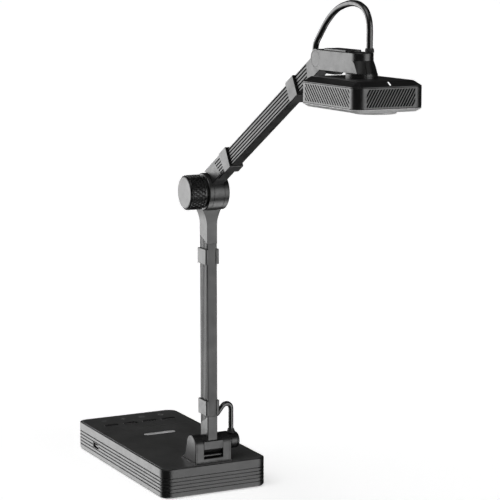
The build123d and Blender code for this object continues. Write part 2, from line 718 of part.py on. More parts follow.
# ---- arm ------------------------------------------------------------------------------
# The arm's parts are drawn standing straight up from the elbow, then leaned forward.
ARM_FITTING_BASE = 7.0
COLLAR_START = 45.0
COLLAR_END = 59.5
ARM_HEAD_LOW = 227.0
ARM_HEAD_HIGH = 233.0
ARM_CLIP_Z = 193.8
TONGUE_RADIUS = 8.1
FITTING_SLOT_START = 34.3
FITTING_SLOT_END = 44.7
FITTING_SLOT_LEAN = 0.48
FITTING_SLOT_END_LEAN = 0.24


def arm_frame(shape):
    """From the upright drawing position to the arm's working slope."""
    return Pos(0, ELBOW_Y, ELBOW_Z) * Rot(90 - ARM_ELEVATION, 0, 0) * shape


def on_arm_axis(shape):
    return Pos(0, ARM_OFFSET, 0) * shape


def arm_lower_fitting():
    """Elbow knuckle with the socket and collar that grip the arm tube."""
    fitting = block(-6.4, 6.4, 0.7, 18.0, ARM_FITTING_BASE, COLLAR_START + 2)
    points = [
        (-1.4, COLLAR_START + 2.0),
        (18.4, COLLAR_START - 1.0),
        (18.4, COLLAR_END),
        (-1.4, COLLAR_END),
    ]
    collar = side_plate(points, -6.9, 6.9)
    collar = fillet(collar.edges().filter_by(Axis.X), 0.5)
    fitting = fillet(fitting.edges().filter_by(Axis.Z), 0.8)
    fitting += collar
    clearance = x_cylinder(ELBOW_RADIUS + 0.7, -20, 20, 0, 0)
    clearance -= x_cylinder(60, -KNUCKLE_HALF_WIDTH, KNUCKLE_HALF_WIDTH, 0, 0)
    fitting -= clearance
    fitting += x_cylinder(ELBOW_RADIUS, -KNUCKLE_HALF_WIDTH, KNUCKLE_HALF_WIDTH, 0, 0)
    for side in (-1, 1):
        start, end = sorted((side * 4.42, side * 6.0))
        fitting -= x_cylinder(14.0, start, end, 0, 0)
        x_limits = sorted((side * 5.6, side * 8.0))
        for depth in TUBE_GROOVES:
            y = ARM_OFFSET + depth
            low = FITTING_SLOT_START - FITTING_SLOT_LEAN * depth
            high = FITTING_SLOT_END - FITTING_SLOT_END_LEAN * depth
            fitting -= block(*x_limits, y - 0.7, y + 0.7, low, high)
    inner_width = TUBE_HALF_WIDTH + 0.04
    inner_depth = TUBE_HALF_DEPTH + 0.04
    fitting -= on_arm_axis(block(-inner_width, inner_width, -inner_depth, inner_depth, 28, 80))
    fitting -= x_cylinder(5.06, -30, 30, 0, 0)
    return arm_frame(fitting)


def arm_tube():
    tube = grooved_tube(28.2, 240)
    tube -= slanted_cutter(ARM_HEAD_LOW - 0.1, ARM_HEAD_HIGH - 0.1, 400)
    return arm_frame(on_arm_axis(tube))


def arm_clip():
    return arm_frame(on_arm_axis(Pos(0, 0, ARM_CLIP_Z) * wrap_clip(14.6, -1)))


def arm_head_fitting():
    """Upper end of the arm: a tongue for the head hinge."""
    width = TUBE_HALF_WIDTH
    depth = TUBE_HALF_DEPTH
    body = block(-width, width, -depth, depth, 220, ARM_LENGTH - 1)
    body = fillet(body.edges().filter_by(Axis.Z), 0.9)
    body -= slanted_cutter(ARM_HEAD_LOW, ARM_HEAD_HIGH, 0)
    body += x_cylinder(TONGUE_RADIUS, -TUBE_HALF_WIDTH, TUBE_HALF_WIDTH, 0, ARM_LENGTH)
    body += plug(212, 240)
    body -= x_cylinder(3.06, -30, 30, 0, ARM_LENGTH)
    body -= Pos(0, TUBE_HALF_DEPTH, ARM_GLAND_Z) * Rot(90, 0, 0) * Cylinder(3.25, 6)
    return arm_frame(on_arm_axis(body))


ARM_GLAND_Z = 243.2


def cable_gland_top():
    """Rubber strain relief where the cable leaves the arm."""
    cone = Cone(4.3, 3.6, 4.6, align=(Align.CENTER, Align.CENTER, Align.MIN))
    gland = cone + Pos(0, 0, -1.2) * Cylinder(3.2, 2.4)
    gland -= Cylinder(TOP_CABLE_RADIUS + 0.2, 20)
    placed = Pos(0, TUBE_HALF_DEPTH + 0.03, ARM_GLAND_Z) * Rot(-90, 0, 0) * gland
    return arm_frame(on_arm_axis(placed))


# ---- head bracket ---------------------------------------------------------------------
def arm_point(along, across):
    """Position (y, z) of a point given along the arm and above its elbow line."""
    slope = math.radians(ARM_ELEVATION)
    y = ELBOW_Y - along * math.cos(slope) + across * math.sin(slope)
    z = ELBOW_Z + along * math.sin(slope) + across * math.cos(slope)
    return y, z


BOSS_Y, BOSS_Z = arm_point(ARM_LENGTH, ARM_OFFSET)
FORK_RADIUS = 8.2
CORE_BOTTOM = 422.6
CORE_TOP = 431.4
BOOT_X = 5.6
BOOT_Y = SWIVEL_Y - 2.6


def bracket():
    """Level bar: forked at the arm, rounded and skirted over the swivel."""
    body = block(
        -BRACKET_HALF_WIDTH, BRACKET_HALF_WIDTH, SWIVEL_Y, BOSS_Y - 1, BRACKET_BOTTOM, BRACKET_TOP
    )
    body += z_cylinder(BRACKET_HALF_WIDTH, BRACKET_BOTTOM, BRACKET_TOP, 0, SWIVEL_Y)
    body = fillet(body.faces().sort_by(Axis.Z)[-1].edges(), 0.6)
    body -= block(-20, 20, BOSS_Y - 4, BOSS_Y + 40, 400, 460)
    for side in (-1, 1):
        x_limits = sorted((side * FORK_INNER, side * BRACKET_HALF_WIDTH))
        eye = x_cylinder(FORK_RADIUS, *x_limits, BOSS_Y, BOSS_Z)
        web = block(*x_limits, BOSS_Y - 8, BOSS_Y, BRACKET_BOTTOM, BRACKET_TOP - 0.05)
        lower = block(-20, 20, BOSS_Y - 3.0, BOSS_Y + 20, 400, BOSS_Z - FORK_RADIUS)
        body += eye + (web - lower)
    skirt = Pos(0, SWIVEL_Y, (BRACKET_BOTTOM + 427.6) / 2) * Cone(
        NECK_RADIUS, BRACKET_HALF_WIDTH, 427.6 - BRACKET_BOTTOM
    )
    side = BRACKET_HALF_WIDTH
    body += skirt & block(-side, side, SWIVEL_Y - 20, SWIVEL_Y + 20, 400, 440)
    keel = [
        (-7.6, BRACKET_BOTTOM + 0.5),
        (7.6, BRACKET_BOTTOM + 0.5),
        (3.2, HEAD_TOP + 0.5),
        (-3.2, HEAD_TOP + 0.5),
    ]
    body += front_plate(keel, BOSS_Y - 22, BOSS_Y - 9.4)
    body -= x_cylinder(9.0, -FORK_INNER, FORK_INNER, BOSS_Y, BOSS_Z)
    body -= block(-FORK_INNER, FORK_INNER, BOSS_Y - 2, BOSS_Y + 20, 400, 460)
    body -= block(-FORK_INNER, FORK_INNER, BOSS_Y - 9.0, BOSS_Y, 400, BOSS_Z)
    body -= x_cylinder(3.02, -30, 30, BOSS_Y, BOSS_Z)
    body -= z_cylinder(6.06, 400, CORE_BOTTOM + 1, 0, SWIVEL_Y)
    body -= z_cylinder(8.0, CORE_BOTTOM, CORE_TOP, 0, SWIVEL_Y)
    body -= block(-6.5, 6.5, -366, BOSS_Y - 14, CORE_BOTTOM, BRACKET_TOP - 1.2)
    body -= block(-6.0, 6.0, -366, BOSS_Y - 16, CORE_BOTTOM, BRACKET_TOP + 2)
    body -= block(-5, 5, SWIVEL_Y, -360, CORE_BOTTOM, CORE_TOP)
    body -= z_cylinder(3.0, CORE_TOP - 1, BRACKET_TOP + 2, BOOT_X, BOOT_Y)
    for side in (-1, 1):
        x_limits = sorted((side * (BRACKET_HALF_WIDTH - 1.4), side * 20))
        body -= x_cylinder(BOSS_RADIUS + 0.12, *x_limits, BOSS_Y, BOSS_Z)
    for x in (-2.9, 2.5):
        body -= block(x, x + 0.4, SWIVEL_Y - 20, SWIVEL_Y - 9.2, BRACKET_BOTTOM, 426.5)
    return body


def bracket_cover():
    """Low lid over the cable channel in the bracket."""
    lid = rounded_slab(14.8, 38.0, 2.0, BRACKET_TOP + 0.03, BRACKET_TOP + 1.6, -349.0)
    lid = fillet(lid.faces().sort_by(Axis.Z)[-1].edges(), 0.5)
    lid += block(-5.9, 5.9, -365, -337.5, BRACKET_TOP - 1.1, BRACKET_TOP + 0.5)
    return lid


def boss_caps():
    """Flush round covers over the ends of the hinge pin."""
    caps = []
    for side in (-1, 1):
        depths = (BRACKET_HALF_WIDTH - 1.38, BRACKET_HALF_WIDTH - 0.05)
        x_limits = sorted(side * depth for depth in depths)
        caps.append(x_cylinder(BOSS_RADIUS, *x_limits, BOSS_Y, BOSS_Z))
    return joined(caps)


def head_hinge_pin():
    return x_cylinder(3.0, -8.0, 8.0, BOSS_Y, BOSS_Z)


def cable_boot():
    """Rubber boot where the cable goes into the bracket."""
    boot = z_cylinder(2.9, CORE_TOP, BRACKET_TOP + 1, BOOT_X, BOOT_Y)
    collar = z_cylinder(3.7, BRACKET_TOP + 0.03, BRACKET_TOP + 3.4, BOOT_X, BOOT_Y)
    boot += fillet(collar.edges().sort_by(Axis.Z)[-1], 0.6)
    return boot - z_cylinder(TOP_CABLE_RADIUS + 0.04, 400, 460, BOOT_X, BOOT_Y)


# ---- camera head ----------------------------------------------------------------------
LENS_Y = SWIVEL_Y - 21.0
LENS_RADIUS = 17.6
LENS_NECK = 14.8
LENS_OPENING = 12.4
LENS_BORE = 10.6
GLASS_RADIUS = 12.2
BARREL_RADIUS = 9.8
BARREL_TIP_RADIUS = 8.4
BARREL_LOW = 390.4
BARREL_TOP = 398.0
ELEMENT_RADIUS = 4.1
ELEMENT_LOW = 392.7
SLOT_WIDTH = 1.25
GRILLE_LOW = 393.8
GRILLE_HIGH = 407.6
FRONT_FIELD = 21.9
FRONT_SLOTS = 19
FRONT_PITCH = 2.55
FRONT_LEAN = 8.0
SIDE_FIELD = 36.3
SIDE_SLOTS = 21
SIDE_PITCH = 4.05
SIDE_LEAN = 13.5
HEAD_SCREW_X = 23.0
HEAD_SCREW_Y = 37.0


def head_neck():
    """Turning collar on the head, with the spindle that the bracket sits on."""
    neck = z_cylinder(NECK_RADIUS, HEAD_TOP - 0.2, BRACKET_BOTTOM - 0.25, 0, SWIVEL_Y)
    neck += z_cylinder(9.5, 409.0, HEAD_TOP, 0, SWIVEL_Y)
    neck += z_cylinder(6.0, HEAD_TOP, CORE_BOTTOM + 0.2, 0, SWIVEL_Y)
    neck += z_cylinder(4.0, HEAD_TOP, CORE_BOTTOM + 3.4, 0, SWIVEL_Y)
    for x in (-2.9, 2.5):
        neck -= block(x, x + 0.4, SWIVEL_Y - 20, SWIVEL_Y - 12.3, HEAD_TOP, BRACKET_BOTTOM)
    return neck - z_cylinder(2.6, 400, 430, 0, SWIVEL_Y)


def swivel_nut():
    nut = Pos(0, SWIVEL_Y, CORE_BOTTOM + 0.25) * extrude(RegularPolygon(7.2, 6), 2.6)
    return nut - z_cylinder(4.02, 400, 440, 0, SWIVEL_Y)


def head_block(z0, z1):
    return rounded_slab(HEAD_WIDTH, HEAD_LENGTH, HEAD_CORNER, z0, z1, SWIVEL_Y)


def head_top():
    """Lid of the head, bevelled down to the grille band on all sides."""
    lid = head_block(HEAD_BAND_TOP + 0.1, HEAD_TOP)
    top_edges = lid.faces().sort_by(Axis.Z)[-1].edges()
    lid = chamfer(top_edges, length=4.0, length2=6.6)
    hollow = rounded_slab(HEAD_WIDTH - 17, HEAD_LENGTH - 17, 4, 400, HEAD_TOP - 2.0, SWIVEL_Y)
    lid -= hollow
    lid -= z_cylinder(9.6, 400, 420, 0, SWIVEL_Y)
    lid -= z_cylinder(NECK_RADIUS + 0.2, HEAD_TOP - 0.25, 420, 0, SWIVEL_Y)
    front = SWIVEL_Y - HEAD_LENGTH / 2
    lid -= Pos(0, front + 3.4, HEAD_TOP - 2.2) * Rot(31, 0, 0) * Box(1.1, 4.5, 1.2)
    return lid


def status_light():
    """Small light pipe on the front bevel."""
    front = SWIVEL_Y - HEAD_LENGTH / 2
    return Pos(0, front + 3.4, HEAD_TOP - 2.2) * Rot(31, 0, 0) * Box(0.9, 4.3, 1.1)


def leaning_slot(lean):
    """One slanted slot outline about the origin, with level ends."""
    half = SLOT_WIDTH / 2
    middle = (GRILLE_LOW + GRILLE_HIGH) / 2
    low = GRILLE_LOW - middle
    high = GRILLE_HIGH - middle
    stretch = math.hypot(lean, high - low) / (high - low)
    wide = half * stretch
    return [
        (-lean / 2 - wide, low),
        (-lean / 2 + wide, low),
        (lean / 2 + wide, high),
        (lean / 2 - wide, high),
    ]


def grille_cutters():
    """Slanted slots on all four sides, cut off square at the ends of each vented field."""
    middle = (GRILLE_LOW + GRILLE_HIGH) / 2
    front = SWIVEL_Y - HEAD_LENGTH / 2
    back = SWIVEL_Y + HEAD_LENGTH / 2
    front_field = block(-FRONT_FIELD, FRONT_FIELD, -6, 6, -20, 20)
    side_field = block(-6, 6, -SIDE_FIELD, SIDE_FIELD, -20, 20)
    cutters = []
    for index in range(FRONT_SLOTS):
        x = (index - (FRONT_SLOTS - 1) / 2) * FRONT_PITCH
        slot = Pos(x, 0, 0) * front_plate(leaning_slot(FRONT_LEAN), -5, 5) & front_field
        cutters.append(Pos(0, front, middle) * slot)
        cutters.append(Pos(0, back, middle) * slot)
    for index in range(SIDE_SLOTS):
        y = (index - (SIDE_SLOTS - 1) / 2) * SIDE_PITCH
        slot = Pos(0, y, 0) * side_plate(leaning_slot(SIDE_LEAN), -5, 5) & side_field
        cutters.append(Pos(-HEAD_WIDTH / 2, SWIVEL_Y, middle) * slot)
        cutters.append(Pos(HEAD_WIDTH / 2, SWIVEL_Y, middle) * slot)
    return cutters


def head_band():
    """Vented wall all round the head."""
    band = head_block(HEAD_BAND_BOTTOM, HEAD_BAND_TOP)
    rims = band.faces().filter_by(Axis.Z).edges()
    band = chamfer(rims, 0.35)
    inner = rounded_slab(
        HEAD_WIDTH - 2 * HEAD_WALL,
        HEAD_LENGTH - 2 * HEAD_WALL,
        HEAD_CORNER - HEAD_WALL,
        380,
        420,
        SWIVEL_Y,
    )
    band -= inner
    band -= grille_cutters()
    for x, y in head_screw_positions():
        post = z_cylinder(2.6, HEAD_BAND_BOTTOM, HEAD_BAND_TOP - 0.2, x, y)
        tie_x = sorted((x, math.copysign(HEAD_WIDTH / 2 - 1.6, x)))
        post += block(*tie_x, y - 1.0, y + 1.0, HEAD_BAND_BOTTOM + 0.3, 401)
        band += post - z_cylinder(SCREW_HOLE, 380, 402, x, y)
    return band


def head_screw_positions():
    signs = ((1, 1), (-1, 1), (1, -1), (-1, -1))
    return [(sx * HEAD_SCREW_X, SWIVEL_Y + sy * HEAD_SCREW_Y) for sx, sy in signs]


LAMP_Y = SWIVEL_Y + 20.0
LAMP_WIDTH = 26.0
LAMP_DEPTH = 7.0


def head_bottom():
    """Underside cover with a bevel, the lens opening and a window for the lamp."""
    cover = head_block(HEAD_BOTTOM, HEAD_BAND_BOTTOM - 0.1)
    low_edges = cover.faces().sort_by(Axis.Z)[0].edges()
    cover = chamfer(low_edges, length=2.4, length2=4.2)
    inside = rounded_slab(HEAD_WIDTH - 12, HEAD_LENGTH - 12, 4, HEAD_BOTTOM + 2.0, 400, SWIVEL_Y)
    cover -= inside
    cover -= z_cylinder(LENS_NECK + 0.1, 380, 400, 0, LENS_Y)
    lamp = extrude(Pos(0, LAMP_Y, 380) * SlotOverall(LAMP_WIDTH + 0.3, LAMP_DEPTH + 0.3), 20)
    cover -= lamp
    for x, y in head_screw_positions():
        cover += z_cylinder(3.4, HEAD_BOTTOM + 0.2, HEAD_BAND_BOTTOM - 0.1, x, y)
        cover -= z_cylinder(SCREW_SHANK + 0.15, 380, 400, x, y)
        cover -= z_cylinder(SCREW_HEAD + 0.2, 380, HEAD_BOTTOM + 1.4, x, y)
    return cover


def head_screws():
    screws = []
    for x, y in head_screw_positions():
        screws.append(Pos(x, y, HEAD_BOTTOM + 0.1) * pan_screw(10))
    return joined(screws)


def lens_ring():
    """Round trim standing proud of the underside round the lens."""
    ring = z_cylinder(LENS_RADIUS, HEAD_BOTTOM - 2.2, HEAD_BOTTOM - 0.03, 0, LENS_Y)
    ring = fillet(ring.edges().sort_by(Axis.Z)[0], 1.1)
    ring += z_cylinder(LENS_NECK, HEAD_BOTTOM - 1, HEAD_BOTTOM + 4.0, 0, LENS_Y)
    ring -= z_cylinder(LENS_OPENING, 380, HEAD_BOTTOM + 0.5, 0, LENS_Y)
    return ring - z_cylinder(LENS_BORE, 380, 400, 0, LENS_Y)


def lens_glass():
    return z_cylinder(GLASS_RADIUS, HEAD_BOTTOM - 1.0, HEAD_BOTTOM + 0.48, 0, LENS_Y)


def lens_barrel():
    """Camera module: stepped barrel on its board side, dished towards the glass."""
    barrel = z_cylinder(BARREL_RADIUS, BARREL_LOW + 3.2, BARREL_TOP, 0, LENS_Y)
    barrel += z_cylinder(BARREL_TIP_RADIUS, BARREL_LOW, BARREL_LOW + 3.8, 0, LENS_Y)
    barrel -= Pos(0, LENS_Y, BARREL_LOW + 1.2) * Cone(7.4, 4.2, 2.6)
    return barrel - z_cylinder(ELEMENT_RADIUS + 0.05, ELEMENT_LOW - 0.5, ELEMENT_LOW + 1.2, 0, LENS_Y)


def lens_element():
    """Front element of the camera's lens."""
    return z_cylinder(ELEMENT_RADIUS, ELEMENT_LOW, ELEMENT_LOW + 1.1, 0, LENS_Y)


def sensor_board():
    low = BARREL_TOP + 0.02
    board = block(-20, 20, LENS_Y - 20, LENS_Y + 32, low, low + 1.6)
    board += block(-7, 7, LENS_Y + 16, LENS_Y + 28, low + 1.5, low + 3.0)
    return board


def lamp_window():
    slab = extrude(Pos(0, LAMP_Y, HEAD_BOTTOM - 0.3) * SlotOverall(LAMP_WIDTH, LAMP_DEPTH), 2.4)
    return fillet(slab.faces().sort_by(Axis.Z)[0].edges(), 0.2)


def lamp_board():
    """Strip board with its row of light chips facing the window."""
    low = HEAD_BOTTOM + 3.9
    board = block(-14, 14, LAMP_Y - 3.4, LAMP_Y + 3.4, low, low + 1.4)
    for x in (-9.0, -3.0, 3.0, 9.0):
        board += block(x - 1.6, x + 1.6, LAMP_Y - 1.6, LAMP_Y + 1.6, low - 1.2, low + 0.2)
    return board


# ---- cables ---------------------------------------------------------------------------
LOWER_LOOP_RADIUS = 5.0
LOWER_LOOP_TURN = 140.0
LOWER_LOOP_START_Z = 78.2
LOWER_DROP = 8.57
LOWER_ENTRY_RADIUS = 3.6


def lower_cable():
    """Up out of the drum, over a tight loop, and level into the column's foot."""
    rise = Line((GLAND_X, 52.5), (GLAND_X, LOWER_LOOP_START_Z))
    over = JernArc(rise @ 1, rise % 1, LOWER_LOOP_RADIUS, LOWER_LOOP_TURN)
    drop = Line(over @ 1, over @ 1 + (over % 1) * LOWER_DROP)
    turn = JernArc(drop @ 1, drop % 1, LOWER_ENTRY_RADIUS, 90 - LOWER_LOOP_TURN)
    enter = Line(turn @ 1, (TUBE_HALF_WIDTH + 0.1, (turn @ 1).Y))
    path = Plane.XZ.offset(-HINGE_Y) * Wire([rise, over, drop, turn, enter])
    section = Pos(GLAND_X, HINGE_Y, 52.5) * Circle(LOWER_CABLE_RADIUS)
    return sweep(section, path=path)


TOP_CABLE_STOPS = [
    (0.0, -303.95, 436.9),
    (1.4, -322.4, 458.0),
    (3.9, -351.2, 471.6),
    (5.0, -368.0, 471.0),
]
TOP_CABLE_END_RISE = 452.0


def meeting_point(start, leaving, end, arriving):
    """Where two arcs meet that leave start and reach end in the given directions."""
    across = end - start
    both = across.dot(leaving + arriving)
    turn = 1 - leaving.dot(arriving)
    reach = (math.sqrt(both**2 + 2 * turn * across.dot(across)) - both) / (2 * turn)
    return (start + leaving * reach + end - arriving * reach) * 0.5


def top_cable():
    """Out of the arm, over a tall loop, and straight down into the bracket's boot."""
    surface = ARM_OFFSET + TUBE_HALF_DEPTH
    first = Vector(0, *arm_point(ARM_GLAND_Z, surface - 1.6))
    clear = Vector(0, *arm_point(ARM_GLAND_Z, surface + 3.5))
    path = [Line(first, clear)]
    for stop in TOP_CABLE_STOPS:
        path.append(TangentArc(path[-1] @ 1, stop, tangent=path[-1] % 1))
    above_boot = Vector(BOOT_X, BOOT_Y, TOP_CABLE_END_RISE)
    down = Vector(0, 0, -1)
    middle = meeting_point(path[-1] @ 1, path[-1] % 1, above_boot, down)
    path.append(TangentArc(path[-1] @ 1, middle, tangent=path[-1] % 1))
    path.append(TangentArc(middle, above_boot, tangent=path[-1] % 1))
    path.append(Line(above_boot, (BOOT_X, BOOT_Y, CORE_TOP + 0.8)))
    section = Plane(origin=first, z_dir=clear - first) * Circle(TOP_CABLE_RADIUS)
    return sweep(section, path=Wire(path))


# ---- output ---------------------------------------------------------------------------
save("base_shell", base_shell())
save("front_panel", front_panel())
save("rear_panel", rear_panel())
save("badge_plate", badge_plate())
save("button_icons", joined(icon_shapes()))
for number, button_x in enumerate(BUTTON_XS, start=1):
    save("button_" + str(number), button(button_x))
save("button_board", button_board())
save("bottom_plate", bottom_plate())
save("base_screws", base_screws())
save("rubber_feet", rubber_feet())
save("ballast_plate", ballast_plate())
save("main_board", main_board())
save("side_port", side_port())
save("rear_port_video", rear_port_video())
save("rear_port_data", rear_port_data())
save("rear_port_power", rear_port_power())
save("hinge_housing", hinge_housing())
save("hinge_cap_left", hinge_cap_left())
save("hinge_cap_right", hinge_cap_right())
save("cable_gland_lower", cable_gland_lower())
save("hinge_pin", hinge_pin())
save("stop_bar", stop_bar())
save("hinge_backing_plate", hinge_backing_plate())

save("column_foot", column_foot())
save("column_tube", column_tube())
save("column_clips", column_clips())
save("column_yoke", column_yoke())
save("elbow_bolt", elbow_bolt())
save("elbow_washers", elbow_washers())
save("lower_cable", lower_cable())

save("elbow_knob", elbow_knob())
save("knob_face", knob_face())

save("arm_lower_fitting", arm_lower_fitting())
save("arm_tube", arm_tube())
save("arm_clip", arm_clip())
save("arm_head_fitting", arm_head_fitting())
save("cable_gland_top", cable_gland_top())
save("top_cable", top_cable())

save("bracket", bracket())
save("bracket_cover", bracket_cover())
save("boss_caps", boss_caps())
save("head_hinge_pin", head_hinge_pin())
save("cable_boot", cable_boot())

save("head_neck", head_neck())
save("swivel_nut", swivel_nut())
save("head_top", head_top())
save("status_light", status_light())
save("head_band", head_band())
save("head_bottom", head_bottom())
save("head_screws", head_screws())
save("lens_ring", lens_ring())
save("lens_glass", lens_glass())
save("lens_barrel", lens_barrel())
save("lens_element", lens_element())
save("sensor_board", sensor_board())
save("lamp_window", lamp_window())
save("lamp_board", lamp_board())
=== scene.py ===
import json
import math

import bpy
from mathutils import Matrix, Vector


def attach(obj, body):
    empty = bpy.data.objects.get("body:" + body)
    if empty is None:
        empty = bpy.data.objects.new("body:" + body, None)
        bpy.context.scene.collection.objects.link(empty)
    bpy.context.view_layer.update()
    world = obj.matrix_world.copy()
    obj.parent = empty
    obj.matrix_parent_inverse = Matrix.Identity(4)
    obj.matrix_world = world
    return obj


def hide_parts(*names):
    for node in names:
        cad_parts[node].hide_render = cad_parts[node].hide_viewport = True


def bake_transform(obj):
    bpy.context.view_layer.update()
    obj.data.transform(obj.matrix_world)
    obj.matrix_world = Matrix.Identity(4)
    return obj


# Looks for the document camera: materials for the hard parts, and new meshes for the soft ones
# (cables, strain reliefs, rubber feet). Lengths are metres in the shared frame.

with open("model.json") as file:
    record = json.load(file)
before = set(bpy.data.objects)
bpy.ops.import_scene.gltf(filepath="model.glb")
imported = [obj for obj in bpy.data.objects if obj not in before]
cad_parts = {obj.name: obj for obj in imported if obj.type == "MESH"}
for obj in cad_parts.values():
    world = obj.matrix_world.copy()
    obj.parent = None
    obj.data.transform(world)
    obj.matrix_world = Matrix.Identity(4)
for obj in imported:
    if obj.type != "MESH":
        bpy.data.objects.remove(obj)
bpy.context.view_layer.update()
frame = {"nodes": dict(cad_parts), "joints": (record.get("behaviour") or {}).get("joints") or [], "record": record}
joint_places = {joint["name"]: joint.get("pos_m") for joint in frame["joints"]}
mount_places = {mount["name"]: mount["pos_m"] for mount in frame["record"]["mounts"]}

MM = 0.001

# ---- camera ---------------------------------------------------------------------------
CAMERA_PLACE = (-0.76539, -1.70238, 0.51629)
CAMERA_AZIMUTH = -26.72
CAMERA_ELEVATION = 9.01
CAMERA_LENS = 137.3
CAMERA_SENSOR = 36.0

# ---- shared geometry, from the frame and the object's own dimensions ------------------
HINGE_Y = joint_places["column_tilt"][1]
ELBOW = joint_places["elbow"]
SWIVEL_Y = joint_places["head_swivel"][1]
FOOT_MOUNTS = ("foot_front_left", "foot_back_left", "foot_front_right", "foot_back_right", "table_rest")
ARM_SLOPE = math.radians(30.0)
ARM_SURFACE = 16.1 * MM
ARM_GLAND_ALONG = 243.2 * MM
GLAND_X = 23.3 * MM
DRUM_Z = 46.8 * MM
DRUM_CLEAR = 7.88 * MM
BOOT_X = 5.6 * MM
BOOT_Y = SWIVEL_Y - 2.6 * MM


# ---- material building ----------------------------------------------------------------
# The sizes of the patterns that every made surface shares.
CLOUD_SIZE = 28 * MM
MOTTLE_SIZE = 2.2 * MM
WEAR_PATCH_SIZE = 4.0 * MM
DUST_FLECK_SIZE = 0.9 * MM
HANDLING_SIZE = 11 * MM
DUST_LEVEL = 0.55

# A colour mix node's sockets: its two colours, and its result.
MIX_FIRST = 6
MIX_SECOND = 7
MIX_RESULT = 2

# The cosine of the angle between the rounded and the flat normal, where an edge begins and is full.
EDGE_BEGINS = 0.995
EDGE_FULL = 0.86


class Sketch:
    """A material's node tree, with short names for the nodes it is built from."""

    def __init__(self, name):
        self.material = bpy.data.materials.new(name)
        self.material.use_nodes = True
        self.tree = self.material.node_tree
        self.tree.nodes.clear()
        self.output = self.node("OutputMaterial")
        self.shader = self.node("BsdfPrincipled")
        self.join(self.shader.outputs["BSDF"], self.output.inputs["Surface"])

    def node(self, kind, **settings):
        made = self.tree.nodes.new("ShaderNode" + kind)
        for key, value in settings.items():
            setattr(made, key, value)
        return made

    def join(self, start, end):
        self.tree.links.new(start, end)

    def feed(self, value, socket):
        """Links a socket, or sets a plain number or colour."""
        if isinstance(value, bpy.types.NodeSocket):
            self.join(value, socket)
        else:
            socket.default_value = value

    def set(self, name, value):
        self.feed(value, self.shader.inputs[name])

    def place(self, stretch=(1, 1, 1), turn=(0, 0, 0), shift=(0, 0, 0)):
        """Object coordinates, moved, turned, then stretched."""
        source = self.node("TexCoord").outputs["Object"]
        moved = self.node("Mapping", vector_type="POINT")
        self.join(source, moved.inputs["Vector"])
        moved.inputs["Location"].default_value = shift
        turned = self.node("Mapping", vector_type="POINT")
        self.join(moved.outputs["Vector"], turned.inputs["Vector"])
        turned.inputs["Rotation"].default_value = turn
        scaled = self.node("Mapping", vector_type="POINT")
        self.join(turned.outputs["Vector"], scaled.inputs["Vector"])
        scaled.inputs["Scale"].default_value = stretch
        return scaled.outputs["Vector"]

    def noise(self, size, detail=4.0, vector=None, roughness=0.55):
        """Smooth noise with features about size metres across."""
        made = self.node("TexNoise")
        made.inputs["Scale"].default_value = 1.0 / size
        made.inputs["Detail"].default_value = detail
        made.inputs["Roughness"].default_value = roughness
        self.join(vector or self.place(), made.inputs["Vector"])
        return made.outputs["Fac"]

    def cells(self, size):
        """The distance to the nearest of many scattered points, about size metres apart."""
        made = self.node("TexVoronoi")
        made.inputs["Scale"].default_value = 1.0 / size
        self.join(self.place(), made.inputs["Vector"])
        return made.outputs["Distance"]

    def remap(self, value, low, high, to_low, to_high):
        """Value, taken from low..high to to_low..to_high and held within them."""
        made = self.node("MapRange", clamp=True)
        self.join(value, made.inputs["Value"])
        numbers = (low, high, to_low, to_high)
        for name, number in zip(("From Min", "From Max", "To Min", "To Max"), numbers):
            self.feed(number, made.inputs[name])
        return made.outputs["Result"]

    def calc(self, operation, first, second):
        made = self.node("Math", operation=operation)
        self.feed(first, made.inputs[0])
        self.feed(second, made.inputs[1])
        return made.outputs["Value"]

    def blend(self, share, first, second, mode="MIX"):
        """Mixes two colours by share."""
        made = self.node("Mix", data_type="RGBA", blend_type=mode)
        self.feed(share, made.inputs["Factor"])
        self.feed(first, made.inputs[MIX_FIRST])
        self.feed(second, made.inputs[MIX_SECOND])
        return made.outputs[MIX_RESULT]

    def edges(self, radius):
        """(rounded normal, 0..1 mask) of the edges within radius."""
        bevel = self.node("Bevel", samples=6)
        bevel.inputs["Radius"].default_value = radius
        flat = self.node("NewGeometry").outputs["Normal"]
        dot = self.node("VectorMath", operation="DOT_PRODUCT")
        self.join(bevel.outputs["Normal"], dot.inputs[0])
        self.join(flat, dot.inputs[1])
        mask = self.remap(dot.outputs["Value"], EDGE_BEGINS, EDGE_FULL, 0.0, 1.0)
        return bevel.outputs["Normal"], mask

    def bump(self, height, depth, normal=None):
        """A normal tilted by a height pattern that is depth metres deep."""
        made = self.node("Bump")
        made.inputs["Strength"].default_value = 1.0
        made.inputs["Distance"].default_value = depth
        self.join(height, made.inputs["Height"])
        if normal is not None:
            self.join(normal, made.inputs["Normal"])
        return made.outputs["Normal"]


def grey(level):
    return (level, level, level, 1.0)


def tinted(colour, factor):
    """The colour made lighter or darker by factor."""
    return tuple(min(1.0, part * factor) for part in colour[:3]) + (1.0,)


